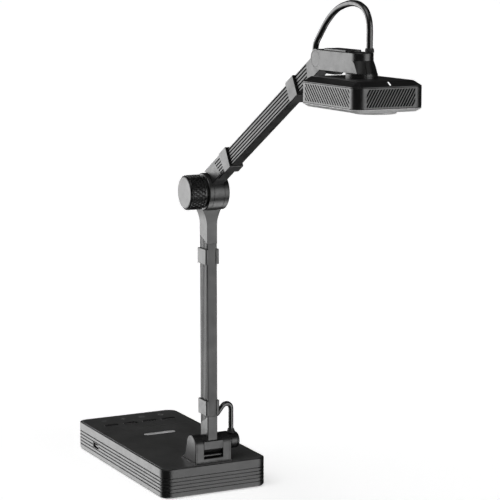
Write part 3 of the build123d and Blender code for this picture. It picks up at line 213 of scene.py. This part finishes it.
def surface(
    name,
    colour,
    roughness,
    metallic=0.0,
    variation=0.18,
    grain=0.35 * MM,
    grain_depth=0.012 * MM,
    smudge=0.07,
    wear=0.35,
    wear_tint=2.2,
    edge=0.35 * MM,
    dust=0.02,
    stretch=(1, 1, 1),
    turn=(0, 0, 0),
    specular=0.5,
    coat=0.0,
):
    """A made surface: cloudy colour, fine grain, handled patches, worn edges, a little dust on top."""
    art = Sketch(name)
    lines = art.place(stretch, turn)
    cloud = art.noise(CLOUD_SIZE, 5.0)
    mottled = art.noise(MOTTLE_SIZE, 3.0, lines)
    dark = tinted(colour, 1.0 - variation)
    light = tinted(colour, 1.0 + variation)
    base = art.blend(art.remap(cloud, 0.35, 0.65, 0.0, 1.0), dark, light)
    speck = art.remap(mottled, 0.3, 0.7, 1.0 - variation * 0.5, 1.0 + variation * 0.5)
    speck_colour = art.node("CombineColor")
    for channel in range(3):
        art.join(speck, speck_colour.inputs[channel])
    base = art.blend(1.0, base, speck_colour.outputs["Color"], "MULTIPLY")

    normal, mask = art.edges(edge)
    patchy = art.remap(art.noise(WEAR_PATCH_SIZE, 6.0), 0.42, 0.68, 0.15, 1.0)
    worn = art.calc("MULTIPLY", art.calc("MULTIPLY", mask, patchy), wear)
    base = art.blend(worn, base, tinted(colour, wear_tint))

    facing = art.node("SeparateXYZ")
    art.join(art.node("NewGeometry").outputs["Normal"], facing.inputs["Vector"])
    upward = art.remap(facing.outputs["Z"], 0.75, 0.98, 0.0, 1.0)
    flecks = art.remap(art.noise(DUST_FLECK_SIZE, 8.0, roughness=0.75), 0.62, 0.74, 0.0, 1.0)
    settled = art.calc("MULTIPLY", art.calc("MULTIPLY", upward, flecks), dust)
    base = art.blend(settled, base, grey(DUST_LEVEL))

    handled = art.noise(HANDLING_SIZE, 7.0, roughness=0.62)
    rough = art.remap(handled, 0.3, 0.7, roughness - smudge, roughness + smudge)
    rough = art.calc("ADD", rough, art.remap(mottled, 0.3, 0.7, -0.03, 0.03))
    rough = art.calc("ADD", rough, art.calc("MULTIPLY", settled, 4.0))

    fine = art.noise(grain, 3.0, lines, 0.6)
    art.set("Base Color", base)
    art.set("Roughness", rough)
    art.set("Metallic", metallic)
    art.set("Specular IOR Level", specular)
    art.set("Coat Weight", coat)
    art.set("Coat Roughness", 0.12)
    art.set("Normal", art.bump(fine, grain_depth, normal))
    return art


RING_SPACING = 1.4 * MM


def turned_disc(name, colour, roughness):
    """A disc with fine rings from turning, about the elbow's axis."""
    art = surface(name, colour, roughness, metallic=0.6, variation=0.08, smudge=0.04, wear=0.5)
    centred = art.place(shift=(0, -ELBOW[1], -ELBOW[2]))
    rings = art.node("TexWave", wave_type="RINGS", rings_direction="X")
    art.join(centred, rings.inputs["Vector"])
    rings.inputs["Scale"].default_value = 1.0 / RING_SPACING
    rings.inputs["Distortion"].default_value = 0.6
    rings.inputs["Detail"].default_value = 2.0
    rounded, _ = art.edges(0.3 * MM)
    art.set("Normal", art.bump(rings.outputs["Fac"], 0.004 * MM, rounded))
    art.set("Anisotropic", 0.5)
    return art


def knurled(name):
    """Blackened metal whose raised points are polished by hands."""
    return surface(name, grey(0.02), 0.2, metallic=0.5, variation=0.2, wear=0.55, wear_tint=5.0,
                   edge=0.15 * MM, smudge=0.05, dust=0.0, specular=0.8)


LACQUER = (0.012, 0.07, 0.035, 1.0)
LACQUER_LIGHT = (0.016, 0.09, 0.045, 1.0)
TRACK_GREEN = (0.04, 0.16, 0.07, 1.0)


def circuit(name):
    """Green lacquer over a pattern of tracks, with pale solder points."""
    art = surface(name, LACQUER, 0.35, variation=0.1, wear=0.0, dust=0.0)
    tracks = art.node("TexBrick", offset=0.5)
    tracks.inputs["Scale"].default_value = 60.0
    tracks.inputs["Mortar Size"].default_value = 0.04
    tracks.inputs["Color1"].default_value = LACQUER
    tracks.inputs["Color2"].default_value = LACQUER_LIGHT
    tracks.inputs["Mortar"].default_value = TRACK_GREEN
    art.join(art.place(), tracks.inputs["Vector"])
    points = art.remap(art.cells(3.1 * MM), 0.10, 0.16, 1.0, 0.0)
    art.set("Base Color", art.blend(points, tracks.outputs["Color"], grey(0.6)))
    return art


def rubber_look(name, level, roughness):
    """Soft black rubber: matt, slightly pitted, grey where it has been rubbed."""
    return surface(name, grey(level), roughness, variation=0.25, grain=0.22 * MM, grain_depth=0.02 * MM,
                   smudge=0.1, wear=0.4, wear_tint=2.0, edge=0.3 * MM, dust=0.05, specular=0.4)


def cable_look(name):
    """Glossy cable jacket with faint lengthwise drag marks and scuffs."""
    art = surface(name, grey(0.012), 0.26, variation=0.2, grain=0.5 * MM, grain_depth=0.008 * MM,
                  smudge=0.08, wear=0.0, dust=0.03, specular=0.55, coat=0.25)
    scuffs = art.remap(art.noise(3.0 * MM, 9.0, roughness=0.7), 0.6, 0.72, 0.0, 0.25)
    previous = art.shader.inputs["Base Color"].links[0].from_socket
    art.set("Base Color", art.blend(scuffs, previous, grey(0.035)))
    return art


def glass_look(name):
    """Coated lens glass with a faint colour in its reflection and a few specks."""
    art = Sketch(name)
    specks = art.remap(art.noise(1.1 * MM, 8.0, roughness=0.8), 0.6, 0.75, 0.02, 0.16)
    art.set("Base Color", (0.75, 0.8, 0.86, 1.0))
    art.set("Transmission Weight", 1.0)
    art.set("Roughness", specks)
    art.set("IOR", 1.5)
    art.set("Coat Weight", 0.6)
    art.set("Coat Tint", (0.72, 0.62, 1.0, 1.0))
    art.set("Normal", art.bump(art.noise(9 * MM, 2.0), 0.004 * MM))
    return art


def glowing(name, level, strength):
    """Milky plastic that passes a little light."""
    art = surface(name, grey(level), 0.3, variation=0.06, wear=0.0, dust=0.0)
    glow = art.remap(art.noise(3.0 * MM, 3.0), 0.3, 0.7, strength * 0.8, strength * 1.2)
    art.set("Emission Color", grey(1.0))
    art.set("Emission Strength", glow)
    art.set("Subsurface Weight", 0.3)
    art.set("Subsurface Radius", (1 * MM, 1 * MM, 1 * MM))
    return art


# Patterns drawn out along one direction, and the turn that lines the arm's up with its slope.
ALONG_Z = (1, 1, 0.03)
ALONG_X = (0.06, 1, 1)
ARM_TURN = (-(math.pi / 2 - ARM_SLOPE), 0, 0)
ANODISED = {
    "metallic": 0.3,
    "stretch": ALONG_Z,
    "grain": 0.25 * MM,
    "grain_depth": 0.006 * MM,
    "wear": 0.45,
    "wear_tint": 3.0,
}


def make_looks():
    """One material for each of the record's slots, and two for nodes that need their own."""
    looks = {
        "black_satin": surface("black_satin", grey(0.01), 0.38, grain=0.3 * MM, grain_depth=0.014 * MM,
                               smudge=0.03),
        "black_gloss": surface("black_gloss", grey(0.055), 0.38, grain=0.25 * MM, grain_depth=0.008 * MM,
                               smudge=0.03, wear=0.3, dust=0.03),
        "button_black": surface("button_black", grey(0.008), 0.3, wear=0.25),
        "arm_black": surface("arm_black", grey(0.01), 0.36, grain=0.4 * MM, grain_depth=0.016 * MM),
        "washer_black": surface("washer_black", grey(0.012), 0.4, wear=0.2),
        "head_black": surface("head_black", grey(0.01), 0.34, grain=0.3 * MM, grain_depth=0.012 * MM),
        # head_grey carries painted reflection: the underside and lens ring get a light base colour (0.58), well
        # above the cover's own dark grey, standing in for the white floor's light reflected from below
        "head_grey": surface("head_grey", grey(0.58), 0.4, grain=0.3 * MM, grain_depth=0.012 * MM),
        "tube_anodised": surface("tube_anodised", grey(0.012), 0.33, **ANODISED),
        "light_metal": surface("light_metal", grey(0.8), 0.3, metallic=0.15, stretch=ALONG_X,
                               grain=0.2 * MM, grain_depth=0.004 * MM, wear=0.3, wear_tint=1.3),
        "grey_print": surface("grey_print", grey(0.32), 0.45, variation=0.12, wear=0.0, dust=0.03),
        "circuit_board": circuit("circuit_board"),
        "steel": surface("steel", grey(0.5), 0.3, metallic=1.0, stretch=ALONG_X, grain=0.2 * MM,
                         grain_depth=0.004 * MM, wear=0.3, wear_tint=1.4),
        "ballast_iron": surface("ballast_iron", grey(0.1), 0.5, metallic=0.8, grain_depth=0.03 * MM),
        "brass": surface("brass", (0.72, 0.5, 0.2, 1.0), 0.3, metallic=1.0, wear=0.3, wear_tint=1.3),
        "rubber": rubber_look("rubber", 0.016, 0.55),
        "cable_black": cable_look("cable_black"),
        "knob_black": knurled("knob_black"),
        "knob_disc": turned_disc("knob_disc", grey(0.09), 0.35),
        "light_pipe": glowing("light_pipe", 0.8, 0.7),
        "diffuser": glowing("diffuser", 0.75, 0.25),
        "glass": glass_look("glass"),
    }
    made = {slot: art.material for slot, art in looks.items()}
    sloping = surface("tube_anodised_sloping", grey(0.012), 0.33, turn=ARM_TURN, **ANODISED)
    made["arm_tube"] = sloping.material
    # Painted shade: the port shells are darkened from steel to near-black, standing in for the shade inside the
    # port openings; the stop bar takes the same dark metal as its own blackened finish
    made["port_shade_dark_steel"] = surface("port_shade_dark_steel", grey(0.06), 0.35, metallic=0.6, wear=0.3, wear_tint=3.0).material
    return made


def paint(node_object, material):
    node_object.data.materials.clear()
    node_object.data.materials.append(material)


# ---- mesh building --------------------------------------------------------------------
LATHE_SIDES = 72
CABLE_SIDES = 28


def make_mesh(name, points, faces, material):
    mesh = bpy.data.meshes.new(name)
    mesh.from_pydata([tuple(point) for point in points], [], faces)
    mesh.validate()
    mesh.polygons.foreach_set("use_smooth", [True] * len(mesh.polygons))
    mesh.materials.append(material)
    made = bpy.data.objects.new(name, mesh)
    bpy.context.scene.collection.objects.link(made)
    return made


def stitch_rings(ring_count, sides):
    """Quads between neighbouring rings of points."""
    faces = []
    for ring in range(ring_count - 1):
        for side in range(sides):
            after = (side + 1) % sides
            low = ring * sides
            high = low + sides
            faces.append((low + side, low + after, high + after, high + side))
    return faces


def lathe(name, profile, matrix, material):
    """A closed ring turned from (radius, height) points, whose last point joins its first."""
    points = []
    for radius, height in profile:
        for side in range(LATHE_SIDES):
            angle = 2 * math.pi * side / LATHE_SIDES
            points.append(matrix @ Vector((radius * math.cos(angle), radius * math.sin(angle), height)))
    faces = stitch_rings(len(profile), LATHE_SIDES)
    last = (len(profile) - 1) * LATHE_SIDES
    for side in range(LATHE_SIDES):
        after = (side + 1) % LATHE_SIDES
        faces.append((last + side, last + after, after, side))
    return make_mesh(name, points, faces, material)


def smooth_path(knots, steps):
    """A smooth line through the knots, as a list of points (centripetal spacing)."""
    knots = [Vector(knot) for knot in knots]
    first = knots[0] + (knots[0] - knots[1])
    last = knots[-1] + (knots[-1] - knots[-2])
    padded = [first] + knots + [last]
    line = []
    for index in range(1, len(padded) - 2):
        p0, p1, p2, p3 = padded[index - 1:index + 3]
        t1 = (p1 - p0).length ** 0.5
        t2 = t1 + (p2 - p1).length ** 0.5
        t3 = t2 + (p3 - p2).length ** 0.5
        for step in range(steps):
            t = t1 + (t2 - t1) * step / steps
            a1 = p0.lerp(p1, t / t1)
            a2 = p1.lerp(p2, (t - t1) / (t2 - t1))
            a3 = p2.lerp(p3, (t - t2) / (t3 - t2))
            b1 = a1.lerp(a2, t / t2)
            b2 = a2.lerp(a3, (t - t1) / (t3 - t1))
            line.append(b1.lerp(b2, (t - t1) / (t2 - t1)))
    line.append(knots[-1])
    return line


def cable_mesh(name, knots, radius, material, steps):
    """A round cable with slight unevenness in its jacket and closed ends."""
    line = smooth_path(knots, steps)
    tangent = (line[1] - line[0]).normalized()
    side_way = tangent.orthogonal().normalized()
    points = []
    for index, middle in enumerate(line):
        ahead = line[min(index + 1, len(line) - 1)]
        behind = line[max(index - 1, 0)]
        tangent = (ahead - behind).normalized()
        side_way = (side_way - tangent * side_way.dot(tangent)).normalized()
        other_way = tangent.cross(side_way)
        uneven = 1.0 + 0.008 * math.sin(index * 0.9) + 0.006 * math.sin(index * 0.37 + 1.0)
        for side in range(CABLE_SIDES):
            angle = 2 * math.pi * side / CABLE_SIDES
            offset = side_way * math.cos(angle) + other_way * math.sin(angle)
            points.append(middle + offset * radius * uneven)
    faces = stitch_rings(len(line), CABLE_SIDES)
    last = (len(line) - 1) * CABLE_SIDES
    faces.append(tuple(reversed(range(CABLE_SIDES))))
    faces.append(tuple(last + side for side in range(CABLE_SIDES)))
    return make_mesh(name, points, faces, material)


def arm_point(along, across):
    """A point above the arm's middle, at a distance along it and across from the elbow's line."""
    y = ELBOW[1] - along * math.cos(ARM_SLOPE) + across * math.sin(ARM_SLOPE)
    z = ELBOW[2] + along * math.sin(ARM_SLOPE) + across * math.cos(ARM_SLOPE)
    return Vector((0, y, z))


def outline_in_metres(outline):
    return [(radius * MM, height * MM) for radius, height in outline]


# Ribs on the arm's strain relief, in millimetres. A rib takes up RIB_SHARE of its pitch.
RIB_COUNT = 3
RIB_STEPS = 8
RIB_SHARE = 0.92
RIB_SWELL = 0.75
RIB_ROUNDNESS = 0.6
GROOVE_DEPTH = 0.8
GROOVE_PLACE = 0.97


def ribbed_outline(base_radius, tip_radius, low, high):
    """A tapering row of rounded ribs with grooves between them."""
    outline = []
    pitch = (high - low) / RIB_COUNT
    for rib in range(RIB_COUNT):
        radius = base_radius + (tip_radius - base_radius) * rib / (RIB_COUNT - 1)
        start = low + rib * pitch
        for step in range(RIB_STEPS + 1):
            swell = math.sin(math.pi * step / RIB_STEPS) ** RIB_ROUNDNESS
            height = start + pitch * RIB_SHARE * step / RIB_STEPS
            outline.append((radius - RIB_SWELL * (1 - swell), height))
        outline.append((radius - GROOVE_DEPTH, start + pitch * GROOVE_PLACE))
    return outline


# ---- soft parts -----------------------------------------------------------------------
# Outlines are (radius, height) points in millimetres. The strain reliefs' and the boot's run from the
# bore up the outside and back to the bore, and a foot's runs from its rim inwards over the tread.
LOWER_BORE = 2.55
UPPER_BORE = 2.75
BOOT_BORE = 2.62
SADDLE_INNER = 3.6 * MM
GLAND_SEAT = 0.03 * MM
BOOT_BOTTOM = 431.5
BOOT_SEAT = 433.63


def lower_gland(material):
    """A collar with a flared foot that saddles the hinge drum."""
    outline = [(LOWER_BORE, 50.6), (3.4, 50.6), (3.4, 52.6), (3.9, 52.7), (4.2, 52.9), (4.3, 54.9)]
    outline += [(4.3, 55.2), (4.1, 55.6), (3.7, 55.9), (3.55, 56.2), (3.6, 56.5), (3.45, 57.1)]
    outline += [(3.2, 57.8), (2.95, 58.1), (LOWER_BORE, 58.15)]
    place = Matrix.Translation((GLAND_X, HINGE_Y, 0))
    made = lathe("lower_strain_relief", outline_in_metres(outline), place, material)
    for corner in made.data.vertices:
        aside = corner.co.y - HINGE_Y
        if math.hypot(corner.co.x - GLAND_X, aside) > SADDLE_INNER:
            saddle = DRUM_Z + math.sqrt(DRUM_CLEAR**2 - aside**2)
            corner.co.z = max(corner.co.z, saddle)
    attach(made, "base")
    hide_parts("cable_gland_lower")


def upper_gland(material):
    """A short ribbed strain relief, square to the arm's upper face."""
    outline = [(UPPER_BORE, -2.2), (3.1, -2.2), (3.1, 0.05), (4.35, 0.1)]
    outline += ribbed_outline(4.3, 3.8, 0.7, 4.6)
    outline += [(UPPER_BORE + 0.35, 4.85), (UPPER_BORE, 4.7)]
    foot = arm_point(ARM_GLAND_ALONG, ARM_SURFACE + GLAND_SEAT)
    out = Vector((0, math.sin(ARM_SLOPE), math.cos(ARM_SLOPE)))
    turn = out.to_track_quat("Z", "Y").to_matrix().to_4x4()
    place = Matrix.Translation(foot) @ turn
    made = lathe("upper_strain_relief", outline_in_metres(outline), place, material)
    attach(made, "arm")
    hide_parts("cable_gland_top")


def boot(material):
    """A plug in the bracket's top, with a collar of two soft steps above it."""
    steps = [(2.85, 0.0), (3.7, 0.1), (3.85, 0.5), (3.7, 0.95), (3.45, 1.15), (3.72, 1.45), (3.72, 2.0)]
    steps += [(3.4, 2.3), (3.55, 2.6), (3.5, 3.1), (3.1, 3.4), (BOOT_BORE, 3.3)]
    outline = [(BOOT_BORE, BOOT_BOTTOM), (2.85, BOOT_BOTTOM)]
    outline += [(radius, BOOT_SEAT + lift) for radius, lift in steps]
    place = Matrix.Translation((BOOT_X, BOOT_Y, 0))
    made = lathe("bracket_cable_boot", outline_in_metres(outline), place, material)
    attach(made, "head_bracket")
    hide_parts("cable_boot")


FOOT_RADIUS = 7.0
FOOT_HEIGHT = 1.55
TREAD_DEPTH = 0.25
TREAD_RINGS = (1.5, 2.9, 4.3, 5.7)


def feet(material):
    """Moulded feet with a raised rim and rings on the tread. Together they stand for one node."""
    outline = [(FOOT_RADIUS, FOOT_HEIGHT), (FOOT_RADIUS, 0.3), (FOOT_RADIUS - 0.3, 0.0), (6.4, 0.1)]
    for radius in reversed(TREAD_RINGS):
        outline += [(radius + 0.45, TREAD_DEPTH), (radius + 0.3, 0.0)]
        outline += [(radius - 0.3, 0.0), (radius - 0.45, TREAD_DEPTH)]
    outline += [(0.05, TREAD_DEPTH), (0.05, FOOT_HEIGHT)]
    for number, mount in enumerate(FOOT_MOUNTS, start=1):
        place = Matrix.Translation(mount_places[mount])
        made = lathe(f"tread_foot_{number}", outline_in_metres(outline), place, material)
        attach(made, "base")
        if number == 1:
            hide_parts("rubber_feet")


# ---- cables ---------------------------------------------------------------------------
# Paths are in millimetres. The lower cable rises, turns by LOOP_TURN degrees, then drops.
LOWER_RADIUS = 2.4 * MM
RISE_HEIGHTS = (52.5, 57.0, 62.0, 67.0, 72.0)
LOOP_START_Z = 78.2
LOOP_RADIUS = 5.0
LOOP_TURN = 140
LOOP_STEP = 20
LOOP_DROP = 8.57
ENTRY_RADIUS = 3.6
ENTRY_X = 5.3

TOP_RADIUS = 2.6 * MM
TOP_CABLE_LIFTS = (-1.6, 1.0, 3.5)
TOP_CABLE_ARCH = [
    (0.0, -303.95, 436.9), (0.5, -311.5, 446.6), (1.4, -322.4, 458.0), (2.5, -335.8, 467.0),
    (3.9, -351.2, 471.6), (4.5, -359.8, 472.2), (5.0, -368.0, 471.0), (5.3, -374.4, 468.3),
    (5.45, -378.7, 464.4), (5.57, -381.6, 458.6),
]
TOP_CABLE_DROP_HEIGHTS = (452.0, 445.0, 438.0, 432.4)


def lower_knots():
    """Points along the lower cable: straight up, round a tight loop, and down into the column."""
    x = GLAND_X / MM
    y = HINGE_Y / MM
    knots = [(x, y, z) for z in RISE_HEIGHTS + (LOOP_START_Z,)]
    for angle in range(LOOP_STEP, LOOP_TURN + 1, LOOP_STEP):
        a = math.radians(angle)
        knots.append((x - LOOP_RADIUS * (1 - math.cos(a)), y, LOOP_START_Z + LOOP_RADIUS * math.sin(a)))
    heading = math.radians(LOOP_TURN)
    loop_x, _, loop_z = knots[-1]
    for reach in (LOOP_DROP / 2, LOOP_DROP):
        knots.append((loop_x - reach * math.sin(heading), y, loop_z + reach * math.cos(heading)))
    drop_x, _, drop_z = knots[-1]
    centre_x = drop_x + ENTRY_RADIUS * math.cos(heading)
    centre_z = drop_z + ENTRY_RADIUS * math.sin(heading)
    for share in (0.33, 0.67, 1.0):
        a = heading + (math.pi / 2 - heading) * share
        knots.append((centre_x - ENTRY_RADIUS * math.cos(a), y, centre_z - ENTRY_RADIUS * math.sin(a)))
    knots.append((ENTRY_X, y, knots[-1][2]))
    return [Vector(knot) * MM for knot in knots]


def top_knots():
    """Points along the top cable: out of the arm, over in an arch, and straight down into the bracket."""
    rising = [arm_point(ARM_GLAND_ALONG, ARM_SURFACE + lift * MM) for lift in TOP_CABLE_LIFTS]
    arch = [Vector(knot) * MM for knot in TOP_CABLE_ARCH]
    dropping = [Vector((BOOT_X, BOOT_Y, height * MM)) for height in TOP_CABLE_DROP_HEIGHTS]
    return rising + arch + dropping


def cables(material):
    lower = cable_mesh("lower_cable_jacket", lower_knots(), LOWER_RADIUS, material, steps=6)
    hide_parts("lower_cable")
    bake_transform(lower)

    top = cable_mesh("top_cable_jacket", top_knots(), TOP_RADIUS, material, steps=10)
    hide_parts("top_cable")
    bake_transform(top)


# ---- studio ---------------------------------------------------------------------------
# Soft boxes as (azimuth, elevation, inner angle, outer angle, brightness), in degrees.
# Azimuth 0 is towards the front, and 90 is towards the right.
SOFT_BOXES = [
    (211, -4, 12, 38, 5.4),
    (25, -6, 8, 34, 5.2),
    (300, 60, 10, 32, 3.0),
    (70, -72, 8, 30, 6.0),
]
AMBIENT = 0.03

# What the camera sees of the backdrop, and the light that the floor adds for the camera alone.
BACKDROP = 1.0
FLOOR_LIFT = 0.62
FLOOR_HALF = 40.0


def direction(azimuth, elevation):
    """The unit vector towards an azimuth and elevation in degrees."""
    a = math.radians(azimuth)
    e = math.radians(elevation)
    return Vector((math.sin(a) * math.cos(e), -math.cos(a) * math.cos(e), math.sin(e)))


def studio_world():
    """Soft boxes that light the object, behind a plain white backdrop that only the camera sees."""
    world = bpy.data.worlds.new("studio")
    bpy.context.scene.world = world
    world.use_nodes = True
    tree = world.node_tree
    tree.nodes.clear()
    ray = tree.nodes.new("ShaderNodeTexCoord").outputs["Generated"]
    total = None
    for azimuth, elevation, inner, outer, brightness in SOFT_BOXES:
        dot = tree.nodes.new("ShaderNodeVectorMath")
        dot.operation = "DOT_PRODUCT"
        tree.links.new(ray, dot.inputs[0])
        dot.inputs[1].default_value = direction(azimuth, elevation)
        ramp = tree.nodes.new("ShaderNodeMapRange")
        ramp.interpolation_type = "SMOOTHSTEP"
        tree.links.new(dot.outputs["Value"], ramp.inputs["Value"])
        ramp.inputs["From Min"].default_value = math.cos(math.radians(outer))
        ramp.inputs["From Max"].default_value = math.cos(math.radians(inner))
        ramp.inputs["To Min"].default_value = 0.0
        ramp.inputs["To Max"].default_value = brightness
        add = tree.nodes.new("ShaderNodeMath")
        add.operation = "ADD"
        tree.links.new(ramp.outputs["Result"], add.inputs[0])
        if total is None:
            add.inputs[1].default_value = AMBIENT
        else:
            tree.links.new(total, add.inputs[1])
        total = add.outputs["Value"]
    lit = tree.nodes.new("ShaderNodeBackground")
    tree.links.new(total, lit.inputs["Strength"])
    seen = tree.nodes.new("ShaderNodeBackground")
    seen.inputs["Color"].default_value = grey(1.0)
    seen.inputs["Strength"].default_value = BACKDROP
    paths = tree.nodes.new("ShaderNodeLightPath")
    mix = tree.nodes.new("ShaderNodeMixShader")
    tree.links.new(paths.outputs["Is Camera Ray"], mix.inputs["Fac"])
    tree.links.new(lit.outputs["Background"], mix.inputs[1])
    tree.links.new(seen.outputs["Background"], mix.inputs[2])
    out = tree.nodes.new("ShaderNodeOutputWorld")
    tree.links.new(mix.outputs["Shader"], out.inputs["Surface"])


def studio_floor():
    """A wide sheet of white paper."""
    corners = [(x * FLOOR_HALF, y * FLOOR_HALF, 0) for x, y in ((-1, -1), (1, -1), (1, 1), (-1, 1))]
    art = Sketch("studio_paper")
    fibre = art.noise(0.6 * MM, 4.0)
    tone = art.remap(art.noise(0.8, 3.0), 0.3, 0.7, 0.86, 0.88)
    colour = art.node("CombineColor")
    for channel in range(3):
        art.join(tone, colour.inputs[channel])
    art.set("Base Color", colour.outputs["Color"])
    art.set("Roughness", 0.9)
    art.set("Specular IOR Level", 0.1)
    art.set("Normal", art.bump(fibre, 0.01 * MM))
    seen = art.node("LightPath").outputs["Is Camera Ray"]
    art.set("Emission Color", grey(1.0))
    art.set("Emission Strength", art.calc("MULTIPLY", seen, FLOOR_LIFT))
    floor = make_mesh("studio_floor", corners, [(0, 1, 2, 3)], art.material)
    floor.visible_glossy = False


def studio_camera():
    data = bpy.data.cameras.new("view")
    data.lens = CAMERA_LENS
    data.sensor_width = CAMERA_SENSOR
    data.clip_start = 0.05
    data.clip_end = 200.0
    camera = bpy.data.objects.new("view", data)
    bpy.context.scene.collection.objects.link(camera)
    camera.location = CAMERA_PLACE
    back = direction(CAMERA_AZIMUTH, CAMERA_ELEVATION)
    camera.rotation_mode = "QUATERNION"
    camera.rotation_quaternion = (-back).to_track_quat("-Z", "Y")
    bpy.context.scene.camera = camera


# ---- assembly -------------------------------------------------------------------------
looks = make_looks()
for subpart in frame["record"]["subparts"]:
    paint(frame["nodes"][subpart["node"]], looks[subpart["material_slot"]])
paint(frame["nodes"]["arm_tube"], looks["arm_tube"])
# Painted shade inside the ports, and the stop bar's own dark metal
for port in ("side_port", "rear_port_video", "rear_port_data", "stop_bar"):
    paint(frame["nodes"][port], looks["port_shade_dark_steel"])

lower_gland(looks["rubber"])
upper_gland(looks["rubber"])
boot(looks["rubber"])
feet(looks["rubber"])
cables(looks["cable_black"])

studio_world()
studio_floor()
studio_camera()
bpy.context.scene.view_settings.view_transform = "Standard"
